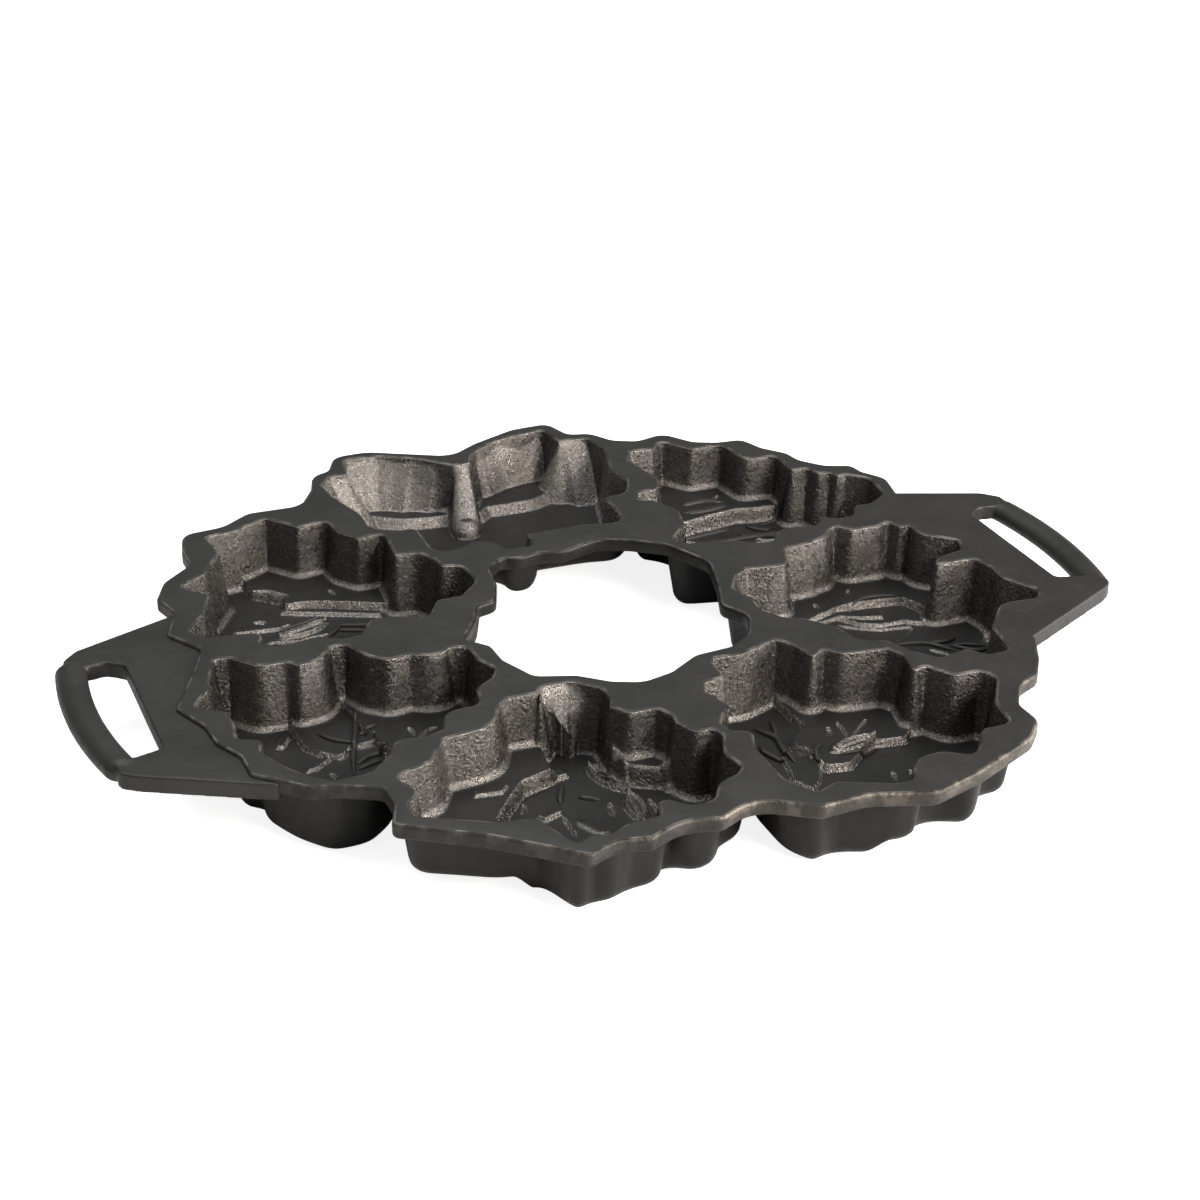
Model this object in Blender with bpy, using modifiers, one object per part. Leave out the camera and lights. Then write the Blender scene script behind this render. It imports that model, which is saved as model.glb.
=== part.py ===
"""A cast iron wreath cakelet pan.

A flat deck in the outline of a wreath carries seven drafted cups: a bow at the back and six
clusters of holly leaves round the ring. A loop handle lies on either side. The real pan is
poured as one casting, and each named object here is one region of that casting.
"""

import math

import bmesh
import bpy
from mathutils import Vector

# Driving sizes in metres. The pan stands on its cups, with Z zero at the table.
CUP_DEPTH = 0.0255
CUP_FLOOR = 0.0035
PAN_HEIGHT = CUP_DEPTH + CUP_FLOOR
DECK_THICKNESS = 0.0055
CUP_WALL = 0.0035
WALL_DRAFT_DEG = 7.0
FLOOR_FILLET = 0.0045
HEEL_FILLET = 0.0060
TAIL_DEPTH = 0.0150
STEP_DRAFT_DEG = 12.0
EDGE_EASE = 0.0005
JOIN_GAP = 0.0003

# The handles: the grip stands off the finger opening, and the opening off the deck's side.
TAB_WEB = 0.0048
GRIP_WIDTH = 0.0116
GRIP_THICKNESS = 0.0085
FINGER_ROOM = 0.0146
FINGER_LENGTH = 0.0670
FINGER_MIDDLE = -0.0095
FAR_WEB = 0.0135
NEAR_WEB = 0.0150
TAB_THICKNESS = 0.0062
TAB_DROP = 0.0012
TAB_EASE = 0.0012
TAB_SHOULDER = 0.0040
TAB_NOSE = 0.0020
NEAR_SHOULDER = 0.0035
OPENING_CORNER = 0.0060
OPENING_LIP = 0.0010
GRIP_BOW = 0.0125
GRIP_STATIONS = 11

# Where the straight edges of each tab run into the deck, far side and near side, in
# millimetres like the tables below.
TAB_ROOTS = {
    "handle_left": ((-140.0, 56.0), (-140.0, -82.2)),
    "handle_right": ((140.0, 56.0), (130.0, -86.6)),
}

# How finely arcs and offsets are drawn, and how far a cutter stands clear of what it cuts.
ARC_SAG = 0.0005
OFFSET_STEP = 0.0004
SHORTEST_EDGE = 0.00012
SHARPEST_MITRE = 4.0
FLAT_DEG = 0.1
CLEAR = 0.0020
MM = 0.001

# Outlines are corner points with the radius that rounds each corner, in millimetres, seen
# from above and listed clockwise. X runs to the right handle and Y to the bow.
WREATH_EDGE = [
    (-4.0, 157.2, 10), (10.0, 166.5, 20), (30.0, 175.4, 14), (47.5, 176.4, 6),
    (51.6, 161.0, 5), (61.0, 158.4, 8), (67.0, 147.6, 8), (76.5, 142.6, 8),
    (90.0, 146.4, 7), (99.0, 132.6, 8), (108.0, 128.4, 10), (119.6, 127.4, 6),
    (123.6, 115.4, 10), (131.0, 106.0, 6), (132.6, 97.0, 10), (140.0, 87.6, 10),
    (150.4, 83.6, 5), (151.4, 76.0, 4), (157.4, 66.0, 8), (153.6, 48.0, 6),
    (144.0, 36.0, 5), (150.5, 21.0, 8), (163.0, 5.0, 5), (162.0, -5.0, 5),
    (157.0, -15.0, 6), (159.0, -29.0, 8), (167.0, -44.0, 6), (167.0, -57.0, 5),
    (150.0, -63.4, 8), (140.4, -70.4, 5), (137.6, -84.6, 5), (131.0, -97.6, 8),
    (123.6, -108.4, 8), (113.6, -113.2, 8), (106.2, -124.6, 8), (106.6, -137.0, 8),
    (98.0, -146.6, 12), (72.0, -159.2, 20), (51.0, -166.0, 4), (30.0, -158.6, 18),
    (13.0, -159.8, 4), (-5.0, -147.6, 14), (-18.6, -154.4, 2.5), (-31.0, -151.2, 16),
    (-43.8, -156.8, 2), (-55.0, -154.2, 14), (-65.4, -158.8, 2.5), (-90.0, -137.0, 40),
    (-116.6, -119.4, 3), (-112.4, -108.0, 6), (-112.4, -97.2, 4), (-126.0, -90.4, 8),
    (-133.4, -88.6, 2.5), (-144.6, -77.8, 8), (-149.8, -73.0, 4), (-150.0, -60.0, 8),
    (-155.4, -48.6, 4), (-156.4, -36.0, 8), (-162.6, -20.6, 2.5), (-150.4, 6.0, 14),
    (-144.6, 20.0, 4), (-153.4, 35.6, 3), (-147.0, 52.6, 4), (-150.6, 66.0, 5),
    (-145.0, 79.4, 8), (-132.4, 91.2, 8), (-132.6, 103.0, 10), (-128.8, 119.8, 7),
    (-112.0, 121.4, 14), (-99.6, 130.6, 8), (-77.6, 130.0, 9), (-69.0, 145.0, 12),
    (-65.2, 157.4, 9), (-57.0, 161.0, 6), (-51.0, 174.6, 8), (-36.0, 174.8, 14),
]
CENTRE_HOLE = [
    (-19.0, 51.8, 4), (-12.0, 49.0, 8), (-4.0, 51.2, 10), (6.0, 48.4, 12),
    (22.0, 54.0, 12), (34.0, 48.4, 10), (46.0, 39.0, 12), (54.6, 19.0, 12),
    (49.4, 0.0, 12), (43.2, -17.0, 5), (49.0, -29.0, 8), (42.6, -42.0, 8),
    (33.0, -48.8, 8), (18.0, -50.0, 10), (5.0, -58.6, 10), (-7.0, -61.6, 10),
    (-17.0, -57.0, 8), (-26.6, -48.4, 8), (-40.4, -43.4, 5), (-46.6, -28.0, 8),
    (-47.0, -16.0, 5), (-54.0, -7.6, 3), (-45.0, 6.0, 8), (-41.6, 15.0, 4),
    (-33.0, 17.6, 5), (-27.6, 32.0, 8), (-26.0, 44.0, 6),
]
BOW_LOOPS = [
    (-47.8, 169.6, 4), (-33.0, 168.6, 14), (-19.0, 159.8, 14), (-6.2, 146.4, 1),
    (1.0, 147.2, 1), (6.5, 157.5, 8), (20.0, 166.2, 14), (43.2, 170.6, 3.5),
    (44.6, 154.9, 1.2), (57.6, 154.4, 4), (60.2, 140.0, 12), (54.2, 118.5, 12),
    (56.2, 104.0, 9), (50.0, 91.4, 8), (37.0, 91.8, 3), (-2.0, 92.0, 6),
    (-37.6, 91.4, 3), (-48.0, 91.2, 8), (-57.6, 97.0, 9), (-57.4, 114.0, 10),
    (-62.4, 131.0, 10), (-64.2, 146.0, 6), (-58.6, 153.6, 3), (-51.0, 154.8, 1),
]
BOW_TAILS = [
    (-34.0, 99.0, 3), (34.0, 99.0, 3), (40.4, 80.0, 9), (38.6, 65.6, 5),
    (24.0, 69.2, 5), (-1.6, 69.6, 1.2), (-2.4, 58.4, 4.5), (-13.6, 58.4, 3.5),
    (-17.0, 67.5, 4), (-24.5, 71.0, 5), (-32.0, 64.8, 6), (-41.0, 68.0, 6),
    (-41.0, 88.0, 5),
]
UPPER_RIGHT_LEAVES = [
    (64.6, 124.0, 2), (69.0, 133.2, 2), (78.8, 132.2, 1), (85.8, 138.2, 2.5),
    (94.8, 125.7, 1.2), (108.8, 125.3, 3.5), (111.2, 106.8, 4), (125.0, 105.6, 3.5),
    (124.6, 88.2, 1.2), (131.6, 87.8, 2.5), (133.6, 81.0, 1.5), (138.6, 80.4, 2),
    (139.8, 75.8, 1), (143.6, 75.8, 1.5), (151.0, 68.6, 6), (149.0, 51.8, 8),
    (139.0, 45.2, 4), (132.0, 45.6, 2), (127.4, 37.2, 4), (120.0, 36.8, 3),
    (113.5, 40.8, 1.5), (109.8, 33.6, 3), (97.0, 36.0, 5), (91.5, 34.5, 3),
    (86.5, 26.6, 4), (80.0, 27.3, 4), (72.0, 33.2, 6), (53.0, 37.6, 3),
    (50.2, 43.0, 2.5), (60.4, 55.0, 6), (63.8, 68.0, 7), (58.4, 80.2, 5),
    (51.6, 83.5, 2.5), (55.0, 90.6, 3), (64.0, 91.6, 4), (68.6, 99.5, 6),
    (66.8, 112.0, 8),
]
RIGHT_LEAVES = [
    (53.4, -6.0, 4), (60.0, 4.4, 7), (66.0, 8.4, 3.5), (75.4, 6.0, 2),
    (81.2, 5.4, 4), (87.6, 19.2, 5), (98.5, 19.8, 6), (107.0, 23.0, 5),
    (114.5, 31.6, 2.2), (119.8, 24.8, 2), (131.0, 24.0, 4), (136.8, 26.8, 2),
    (139.4, 20.6, 1), (143.4, 20.4, 1.5), (143.0, 11.0, 8), (154.2, 0.6, 2.5),
    (151.0, -8.0, 4), (138.0, -11.0, 5), (134.8, -16.2, 1), (151.6, -16.2, 3),
    (153.6, -27.0, 8), (152.6, -36.0, 8), (160.0, -50.0, 3), (156.0, -55.6, 3.5),
    (140.0, -55.0, 8), (127.2, -71.0, 9), (124.6, -88.6, 4.5), (115.0, -88.8, 3.5),
    (110.0, -82.0, 3), (98.0, -84.8, 3), (91.0, -76.0, 5), (87.0, -66.0, 3),
    (77.4, -61.0, 4), (75.2, -49.0, 6), (66.4, -38.0, 5), (60.5, -35.2, 2.5),
    (55.2, -26.0, 5), (56.6, -17.0, 6),
]
LOWER_RIGHT_LEAVES = [
    (20.8, -69.0, 2), (21.6, -54.4, 3), (34.0, -55.8, 10), (49.6, -49.4, 2.4),
    (54.6, -57.0, 6), (56.6, -66.8, 1), (62.2, -62.6, 1.8), (67.4, -68.6, 3),
    (83.8, -71.0, 3.5), (87.2, -78.0, 5), (84.4, -90.0, 1.2), (89.8, -87.4, 2.5),
    (96.0, -98.2, 4), (106.2, -98.4, 3.5), (109.2, -105.0, 5), (98.8, -121.0, 8),
    (96.8, -135.4, 4), (85.2, -134.8, 5), (79.4, -144.0, 5), (74.0, -149.8, 4.5),
    (66.0, -143.0, 8), (57.0, -143.6, 5), (51.6, -148.6, 4), (48.8, -155.6, 2.5),
    (41.6, -155.6, 2.5), (24.0, -147.4, 5), (15.6, -151.2, 2), (9.6, -140.0, 6),
    (9.4, -118.4, 4), (14.0, -107.0, 4), (7.0, -105.0, 1.6), (6.0, -98.8, 2.5),
    (13.6, -87.0, 7), (10.0, -76.0, 2.5), (12.4, -70.2, 2.5),
]
FRONT_LEAVES = [
    (-105.6, -91.2, 2.5), (-92.0, -86.2, 7), (-84.8, -74.0, 5), (-65.0, -71.4, 12),
    (-57.6, -55.4, 5), (-44.3, -55.7, 1), (-40.8, -51.8, 3.5), (-30.4, -51.6, 5),
    (-22.2, -60.4, 6), (-22.0, -68.0, 5), (-24.6, -74.0, 1.2), (-20.0, -80.6, 3),
    (-10.2, -80.8, 3), (-7.2, -87.0, 4), (-8.0, -92.2, 1.2), (-4.4, -100.8, 2),
    (2.4, -101.2, 2.5), (3.2, -106.0, 3), (-1.6, -117.0, 7), (0.4, -127.4, 3),
    (-3.4, -131.2, 3), (-11.0, -134.0, 6), (-17.0, -143.4, 5), (-25.0, -143.2, 5),
    (-30.4, -137.0, 3), (-34.4, -138.0, 3), (-36.2, -145.6, 3), (-47.0, -145.6, 8),
    (-55.6, -149.8, 3), (-60.4, -147.4, 3), (-66.6, -151.4, 2), (-73.0, -132.4, 4),
    (-85.8, -129.6, 4), (-101.6, -120.6, 5), (-109.0, -117.0, 4), (-107.4, -108.6, 4),
    (-101.4, -103.4, 5), (-105.4, -96.4, 2.5),
]
LOWER_LEFT_LEAVES = [
    (-141.9, 11.2, 2.4), (-136.4, 10.0, 3), (-128.4, -0.4, 6), (-118.4, -0.6, 4),
    (-114.8, -4.8, 1.2), (-107.0, -3.6, 8), (-101.0, 4.6, 3), (-95.2, 4.6, 2.5),
    (-90.6, -7.0, 9), (-84.4, -12.8, 4), (-76.4, -11.4, 3), (-66.8, -16.8, 9),
    (-61.4, -11.6, 2.5), (-55.2, -13.8, 3.5), (-54.8, -25.0, 6), (-51.2, -33.0, 4),
    (-55.0, -39.2, 4), (-62.6, -44.4, 5), (-64.6, -56.0, 5), (-78.0, -56.6, 6),
    (-82.2, -67.6, 3), (-90.6, -70.4, 3), (-99.0, -67.8, 5), (-104.4, -77.6, 6),
    (-113.4, -86.0, 7), (-127.4, -86.4, 8), (-136.6, -74.0, 8), (-142.8, -60.0, 6),
    (-140.4, -52.0, 2.5), (-148.2, -48.2, 3), (-146.2, -38.0, 8), (-147.0, -28.8, 4),
    (-156.2, -21.6, 2.5), (-148.6, -9.6, 5),
]
UPPER_LEFT_LEAVES = [
    (-120.9, 113.8, 2.5), (-108.0, 116.0, 12), (-94.4, 123.4, 2.2), (-84.0, 110.2, 1.2),
    (-72.2, 112.0, 3.2), (-70.6, 99.0, 9), (-64.8, 90.8, 1.5), (-54.0, 91.4, 3.2),
    (-56.0, 70.2, 1), (-47.0, 69.4, 6), (-42.6, 60.0, 6), (-42.2, 53.8, 1),
    (-35.2, 52.0, 5.5), (-33.8, 37.0, 8), (-44.0, 26.2, 4), (-53.5, 26.2, 1.5),
    (-60.6, 14.4, 3), (-74.0, 20.2, 6), (-81.5, 19.8, 3), (-88.0, 9.2, 4),
    (-95.5, 8.8, 4), (-102.0, 14.2, 5), (-118.4, 12.0, 2.5), (-123.6, 17.0, 2.5),
    (-119.4, 24.6, 4), (-140.0, 28.4, 2.5), (-145.2, 35.4, 2.5), (-137.2, 47.0, 8),
    (-131.2, 61.8, 1.2), (-139.8, 73.2, 2.5), (-128.4, 81.8, 8), (-119.2, 97.0, 1.2),
]
LEAF_CUPS = {
    "upper_right_cup": UPPER_RIGHT_LEAVES,
    "right_cup": RIGHT_LEAVES,
    "lower_right_cup": LOWER_RIGHT_LEAVES,
    "front_cup": FRONT_LEAVES,
    "lower_left_cup": LOWER_LEFT_LEAVES,
    "upper_left_cup": UPPER_LEFT_LEAVES,
}

# Where a leaf or a loop of ribbon lies over the next one, the cup's floor has a step. Each
# step is how far its floor lies above the cup's deepest floor, in metres, and its outline in
# millimetres, which runs on past the cup's wall. The iron under it steps up by as much.
STEPS = {
    "bow_cup": [
        (0.0042, [
            (-6.0, 158.0, 2), (8.0, 176.0, 3), (44.0, 184.0, 3), (51.0, 160.0, 2),
            (45.0, 155.0, 2), (40.0, 153.5, 3), (36.0, 149.5, 5), (29.5, 146.0, 8),
            (18.0, 145.5, 8), (8.0, 146.0, 4), (2.5, 141.0, 2), (-2.6, 143.0, 2),
        ]),
        (0.0042, [
            (-64.0, 176.0, 3), (-48.0, 184.0, 3), (-20.0, 178.0, 3), (1.0, 158.0, 2),
            (-2.6, 142.0, 2), (-8.0, 143.5, 3), (-18.0, 144.5, 8), (-28.5, 146.5, 8),
            (-36.0, 151.0, 6), (-44.0, 158.5, 4), (-51.0, 156.0, 2), (-60.0, 161.0, 3),
        ]),
    ],
    "upper_right_cup": [
        (0.0065, [
            (60.0, 104.0, 3), (56.0, 126.0, 3), (66.0, 142.0, 3), (86.0, 148.0, 3),
            (100.0, 142.0, 3), (122.0, 134.0, 3), (131.0, 112.0, 2), (131.0, 97.0, 2),
            (121.0, 96.0, 4), (112.0, 97.0, 4), (104.0, 99.0, 4), (90.0, 97.0, 5),
            (79.0, 94.5, 4), (72.0, 96.0, 3),
        ]),
    ],
    "right_cup": [
        (0.0030, [
            (77.0, 16.0, 2), (82.0, 30.0, 3), (114.0, 44.0, 3), (145.0, 40.0, 3),
            (154.0, 24.0, 3), (166.0, 4.0, 3), (158.0, -15.6, 2), (138.0, -15.6, 2),
            (135.5, -12.0, 2), (135.5, -5.0, 4), (132.5, 3.0, 5), (111.5, 6.0, 12),
            (103.0, 4.5, 10), (88.5, -1.0, 6), (82.0, -3.0, 2), (78.0, 2.0, 2),
        ]),
    ],
    "lower_right_cup": [
        (0.0030, [
            (48.0, -40.0, 3), (88.0, -56.0, 3), (98.0, -74.0, 3), (97.0, -85.0, 2),
            (90.0, -86.8, 2), (84.0, -91.0, 2), (79.5, -96.0, 2), (73.5, -95.0, 4),
            (67.0, -94.0, 4), (61.0, -98.0, 3), (53.0, -105.0, 4), (43.0, -103.0, 3),
            (45.0, -93.0, 4), (40.0, -84.5, 3), (44.0, -79.5, 3), (50.0, -76.0, 3),
        ]),
        (0.0050, [(37.0, -140.0, 3), (53.0, -140.0, 3), (57.0, -166.0, 3), (33.0, -166.0, 3)]),
    ],
    "front_cup": [
        (0.0060, [
            (-118.0, -84.0, 3), (-92.0, -74.0, 3), (-86.0, -64.0, 3), (-66.0, -60.0, 2),
            (-60.0, -46.0, 2), (-43.0, -46.0, 2), (-44.5, -60.0, 2), (-46.5, -75.0, 2),
            (-58.5, -78.5, 4), (-65.5, -86.5, 6), (-75.0, -98.5, 6), (-75.0, -112.0, 6),
            (-73.5, -122.0, 3), (-72.5, -140.0, 3), (-120.0, -132.0, 3),
        ]),
        (0.0080, [
            (-24.4, -74.6, 1), (-18.0, -68.0, 2), (-8.0, -66.0, 3), (4.0, -74.0, 3),
            (2.0, -93.0, 2), (-9.0, -93.0, 2), (-14.0, -90.5, 3), (-21.0, -86.0, 4),
            (-26.0, -79.5, 2),
        ]),
        (0.0018, [
            (-80.0, -119.0, 3), (12.0, -117.0, 3), (12.0, -140.0, 3), (-20.0, -156.0, 3),
            (-76.0, -162.0, 3),
        ]),
    ],
    "lower_left_cup": [
        (0.0038, [
            (-101.0, 12.0, 2), (-84.0, 12.0, 2), (-70.0, -2.0, 3), (-44.0, -3.0, 3),
            (-42.0, -46.0, 3), (-52.0, -53.0, 2), (-62.0, -40.5, 3), (-80.0, -38.5, 6),
            (-91.0, -39.5, 3), (-95.0, -32.0, 3), (-94.0, -24.0, 3), (-97.5, -19.5, 3),
            (-97.0, -10.0, 3),
        ]),
        (0.0020, [
            (-119.5, 12.0, 2), (-90.0, 12.0, 2), (-87.0, -12.0, 3), (-88.0, -24.0, 3),
            (-97.0, -27.0, 3), (-104.0, -27.5, 3), (-108.4, -32.5, 2), (-115.0, -27.6, 4),
            (-119.0, -20.7, 4), (-119.5, -10.0, 4),
        ]),
    ],
    "upper_left_cup": [
        (0.0037, [
            (-108.0, 128.0, 3), (-62.0, 122.0, 3), (-45.0, 98.0, 3), (-48.0, 76.0, 2),
            (-56.0, 71.0, 2), (-62.0, 74.3, 3), (-81.5, 84.0, 12), (-91.0, 87.0, 8),
            (-98.2, 86.0, 2), (-95.0, 93.0, 3), (-106.0, 104.0, 3),
        ]),
    ],
}

# Seasoned cast iron, a little lighter where the surface was ground flat.
SEASONED = (0.046, 0.044, 0.042, 1.0)
SEASONED_ROUGHNESS = 0.46
SEASONED_METALLIC = 0.55


def rounded(knots):
    """The closed outline of these corner points, with a true arc at each corner."""
    corners = [Vector((x * MM, y * MM)) for x, y, _ in knots]
    count = len(corners)
    sides = [corners[(i + 1) % count] - corners[i] for i in range(count)]
    bends = [abs(sides[i - 1].angle_signed(sides[i])) for i in range(count)]
    wanted = [knots[i][2] * MM * math.tan(bends[i] / 2.0) for i in range(count)]
    ring = []
    for i in range(count):
        tangent = wanted[i]
        for side, other in ((sides[i - 1], wanted[i - 1]), (sides[i], wanted[(i + 1) % count])):
            room = side.length * 0.96
            if wanted[i] + other > room:
                tangent = min(tangent, room * wanted[i] / (wanted[i] + other))
        start = corners[i] - sides[i - 1].normalized() * tangent
        end = corners[i] + sides[i].normalized() * tangent
        radius = tangent / max(math.tan(bends[i] / 2.0), 1e-6)
        chord = 2.0 * math.acos(max(0.0, 1.0 - ARC_SAG / max(radius, ARC_SAG)))
        pieces = max(1, math.ceil(bends[i] / chord))
        weight = math.cos(bends[i] / 2.0)
        for k in range(pieces + 1):
            u = k / pieces
            shares = ((1.0 - u) ** 2, 2.0 * u * (1.0 - u) * weight, u * u)
            total = start * shares[0] + corners[i] * shares[1] + end * shares[2]
            ring.append(total / sum(shares))
    return ring


def offset(ring, inward):
    """The ring moved inward by a distance, or outward where it is negative.

    It keeps its number of points, so that it can be lofted: points that meet on the way in
    go on together from there, as the corners of a shrinking outline do.
    """
    points = list(ring)
    owner = list(range(len(ring)))
    steps = max(1, math.ceil(abs(inward) / OFFSET_STEP))
    for _ in range(steps):
        points, owner = offset_step(points, owner, inward / steps)
    return [points[i] for i in owner]


def offset_step(points, owner, step):
    """One small step of offset: every side moves square to itself and short sides close up."""
    count = len(points)
    along = [(points[(i + 1) % count] - points[i]).normalized() for i in range(count)]
    normals = [Vector((side.y, -side.x)) for side in along]
    moved = []
    for i in range(count):
        both = normals[i - 1] + normals[i]
        mitre = both / max(1.0 + normals[i - 1].dot(normals[i]), 1.0 / SHARPEST_MITRE)
        moved.append(points[i] + mitre * step)
    open_side = [
        (moved[(i + 1) % count] - moved[i]).dot(along[i]) > SHORTEST_EDGE for i in range(count)
    ]
    first = open_side.index(True) + 1
    groups = []
    for k in range(count):
        i = (first + k) % count
        if k == 0 or open_side[i - 1]:
            groups.append([])
        groups[-1].append(i)
    place = {i: number for number, group in enumerate(groups) for i in group}
    merged = [sum((moved[i] for i in group), Vector((0.0, 0.0))) / len(group) for group in groups]
    return merged, [place[i] for i in owner]


def held_back(ring, outward, neighbours):
    """The ring moved outward, but less where a neighbour is near, so that a gap is left."""
    count = len(ring)
    wide = offset(ring, -outward)
    rooms = []
    for i in range(count):
        start, end = ring[i], ring[(i + 1) % count]
        apart = min(distance_between(start, end, other) for other in neighbours)
        rooms.append(max(apart / 2.0 - JOIN_GAP, 0.0))
    limited = []
    for i in range(count):
        share = min(1.0, rooms[i - 1] / outward, rooms[i] / outward)
        limited.append(ring[i] + (wide[i] - ring[i]) * share)
    return limited


def distance_between(start, end, other):
    """The least distance from the straight side start to end to a closed outline."""
    nearest = math.inf
    for i, corner in enumerate(other):
        nearest = min(nearest, distance_to_side(corner, start, end))
        following = other[(i + 1) % len(other)]
        nearest = min(nearest, distance_to_side(start, corner, following))
    return nearest


def distance_to_side(point, start, end):
    """The distance from a point to the straight side start to end."""
    side = end - start
    share = min(max((point - start).dot(side) / side.length_squared, 0.0), 1.0)
    return (start + side * share - point).length


def add_object(name, mesh, collection, parent):
    """A new object for the mesh, under the parent."""
    obj = bpy.data.objects.new(name, mesh)
    collection.objects.link(obj)
    obj.parent = parent
    return obj


def loft(name, levels, collection, parent):
    """A closed solid through rings of equal point count, from the top one down."""
    body = bmesh.new()
    rows = [[body.verts.new((p.x, p.y, z)) for p in ring] for ring, z in levels]
    for upper, lower in zip(rows, rows[1:]):
        for i, vertex in enumerate(upper):
            j = (i + 1) % len(upper)
            body.faces.new((vertex, upper[j], lower[j], lower[i]))
    body.faces.new(rows[0])
    body.faces.new(rows[-1][::-1])
    bmesh.ops.remove_doubles(body, verts=body.verts, dist=SHORTEST_EDGE * 0.1)
    bmesh.ops.recalc_face_normals(body, faces=body.faces)
    mesh = bpy.data.meshes.new(name)
    body.to_mesh(mesh)
    body.free()
    return add_object(name, mesh, collection, parent)


def plate(name, outlines, top, thickness, collection, parent):
    """A flat plate from closed outlines, the inner ones as holes."""
    curve = bpy.data.curves.new(name, "CURVE")
    curve.dimensions = "2D"
    curve.fill_mode = "BOTH"
    curve.extrude = thickness / 2.0
    for ring in outlines:
        spline = curve.splines.new("POLY")
        spline.points.add(len(ring) - 1)
        for knot, point in zip(spline.points, ring):
            knot.co = (point.x, point.y, 0.0, 1.0)
        spline.use_cyclic_u = True
    guide = add_object(name + "_outline", curve, collection, None)
    guide.location.z = top - thickness / 2.0
    return solid_from_curve(guide, name, collection, parent)


def solid_from_curve(guide, name, collection, parent):
    """The evaluated curve as one welded mesh object. The curve is removed."""
    bpy.context.view_layer.update()
    graph = bpy.context.evaluated_depsgraph_get()
    mesh = bpy.data.meshes.new_from_object(guide.evaluated_get(graph))
    mesh.transform(guide.matrix_world)
    body = bmesh.new()
    body.from_mesh(mesh)
    bmesh.ops.remove_doubles(body, verts=body.verts, dist=SHORTEST_EDGE * 0.1)
    flat = math.radians(FLAT_DEG)
    level = [edge for edge in body.edges if edge.calc_face_angle(0.0) < flat]
    bmesh.ops.dissolve_limit(body, angle_limit=flat, verts=[], edges=level)
    bmesh.ops.recalc_face_normals(body, faces=body.faces)
    body.to_mesh(mesh)
    body.free()
    mesh.name = name
    curve = guide.data
    bpy.data.objects.remove(guide)
    bpy.data.curves.remove(curve)
    return add_object(name, mesh, collection, parent)


def ease(obj, width, segments):
    """Rounds the sharp edges of a plate."""
    bevel = obj.modifiers.new("eased_edges", "BEVEL")
    bevel.width = width
    bevel.segments = segments
    bevel.limit_method = "ANGLE"
    bevel.angle_limit = math.radians(60.0)


def combine(obj, operation, other):
    """Cuts the other object from this one, or joins it on."""
    modifier = obj.modifiers.new(operation.lower() + "_" + other.name, "BOOLEAN")
    modifier.operation = operation
    modifier.object = other


def cavity_levels(rim, depth):
    """Rings of the hollow of a cup: a drafted wall and a filleted floor."""
    draft = math.radians(WALL_DRAFT_DEG)
    slope = math.tan(draft)
    wall_end = depth - FLOOR_FILLET * (1.0 - math.sin(draft))
    foot = wall_end * slope
    levels = [(offset(rim, -CLEAR * slope), CLEAR), (offset(rim, foot), -wall_end)]
    swing = math.pi / 2.0 - draft
    for part in (0.5, 1.0):
        turn = draft + swing * part
        run = FLOOR_FILLET * (math.cos(draft) - math.cos(turn))
        drop = FLOOR_FILLET * (math.sin(turn) - math.sin(draft))
        levels.append((offset(rim, foot + run), -(wall_end + drop)))
    return levels


def shell_levels(rim, depth, neighbours):
    """Rings of the outside of a cup, from just under the deck to the face it stands on."""
    draft = math.radians(WALL_DRAFT_DEG)
    slope = math.tan(draft)
    top = DECK_THICKNESS + JOIN_GAP
    wall_end = depth - HEEL_FILLET * (1.0 - math.sin(draft))
    levels = [(held_back(rim, CUP_WALL - top * slope, neighbours), -top)]
    levels.append((offset(rim, wall_end * slope - CUP_WALL), -wall_end))
    swing = math.pi / 2.0 - draft
    for part in (0.5, 1.0):
        turn = draft + swing * part
        run = HEEL_FILLET * (math.cos(draft) - math.cos(turn))
        drop = HEEL_FILLET * (math.sin(turn) - math.sin(draft))
        inward = wall_end * slope - CUP_WALL + run
        levels.append((offset(rim, inward), -(wall_end + drop)))
    return levels


def step_levels(outline, depth, wall, below):
    """Rings of the block that fills a cup's hollow, or opens its underside, under one step."""
    flare = (below - depth) * math.tan(math.radians(STEP_DRAFT_DEG))
    top = offset(outline, wall)
    return [(top, -depth), (offset(outline, wall - flare), -below)]


def tab_outline(name):
    """The outline of a handle's flat tab, round the finger opening but without the grip."""
    side = -1.0 if name == "handle_left" else 1.0
    inner = opening_x()
    far = FINGER_MIDDLE + FINGER_LENGTH / 2.0
    near = FINGER_MIDDLE - FINGER_LENGTH / 2.0
    far_root, near_root = TAB_ROOTS[name]
    far_end = grip_x(far)
    near_end = grip_x(near)
    corners = [
        (abs(far_root[0]) * MM, far_root[1] * MM, 3),
        (far_end - TAB_SHOULDER, far + FAR_WEB, 4),
        (far_end + TAB_NOSE, far + FAR_WEB * 0.5, 4),
        (far_end, far - OPENING_LIP, 2),
        (inner + OPENING_CORNER, far + OPENING_LIP, 4),
        (inner, far - TAB_SHOULDER, 3),
        (inner, near, 3),
        (near_end, near - TAB_SHOULDER, 2),
        (near_end + TAB_NOSE, near - NEAR_WEB * 0.7, 4),
        (near_end - NEAR_SHOULDER, near - NEAR_WEB, 5),
        (abs(near_root[0]) * MM, near_root[1] * MM, 3),
    ]
    knots = [(side * x / MM, y / MM, radius) for x, y, radius in corners]
    return knots if side > 0.0 else knots[::-1]


def opening_x():
    """How far out the finger openings start, beyond the widest point of the deck."""
    return max(x for x, _, _ in WREATH_EDGE) * MM + TAB_WEB


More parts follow.
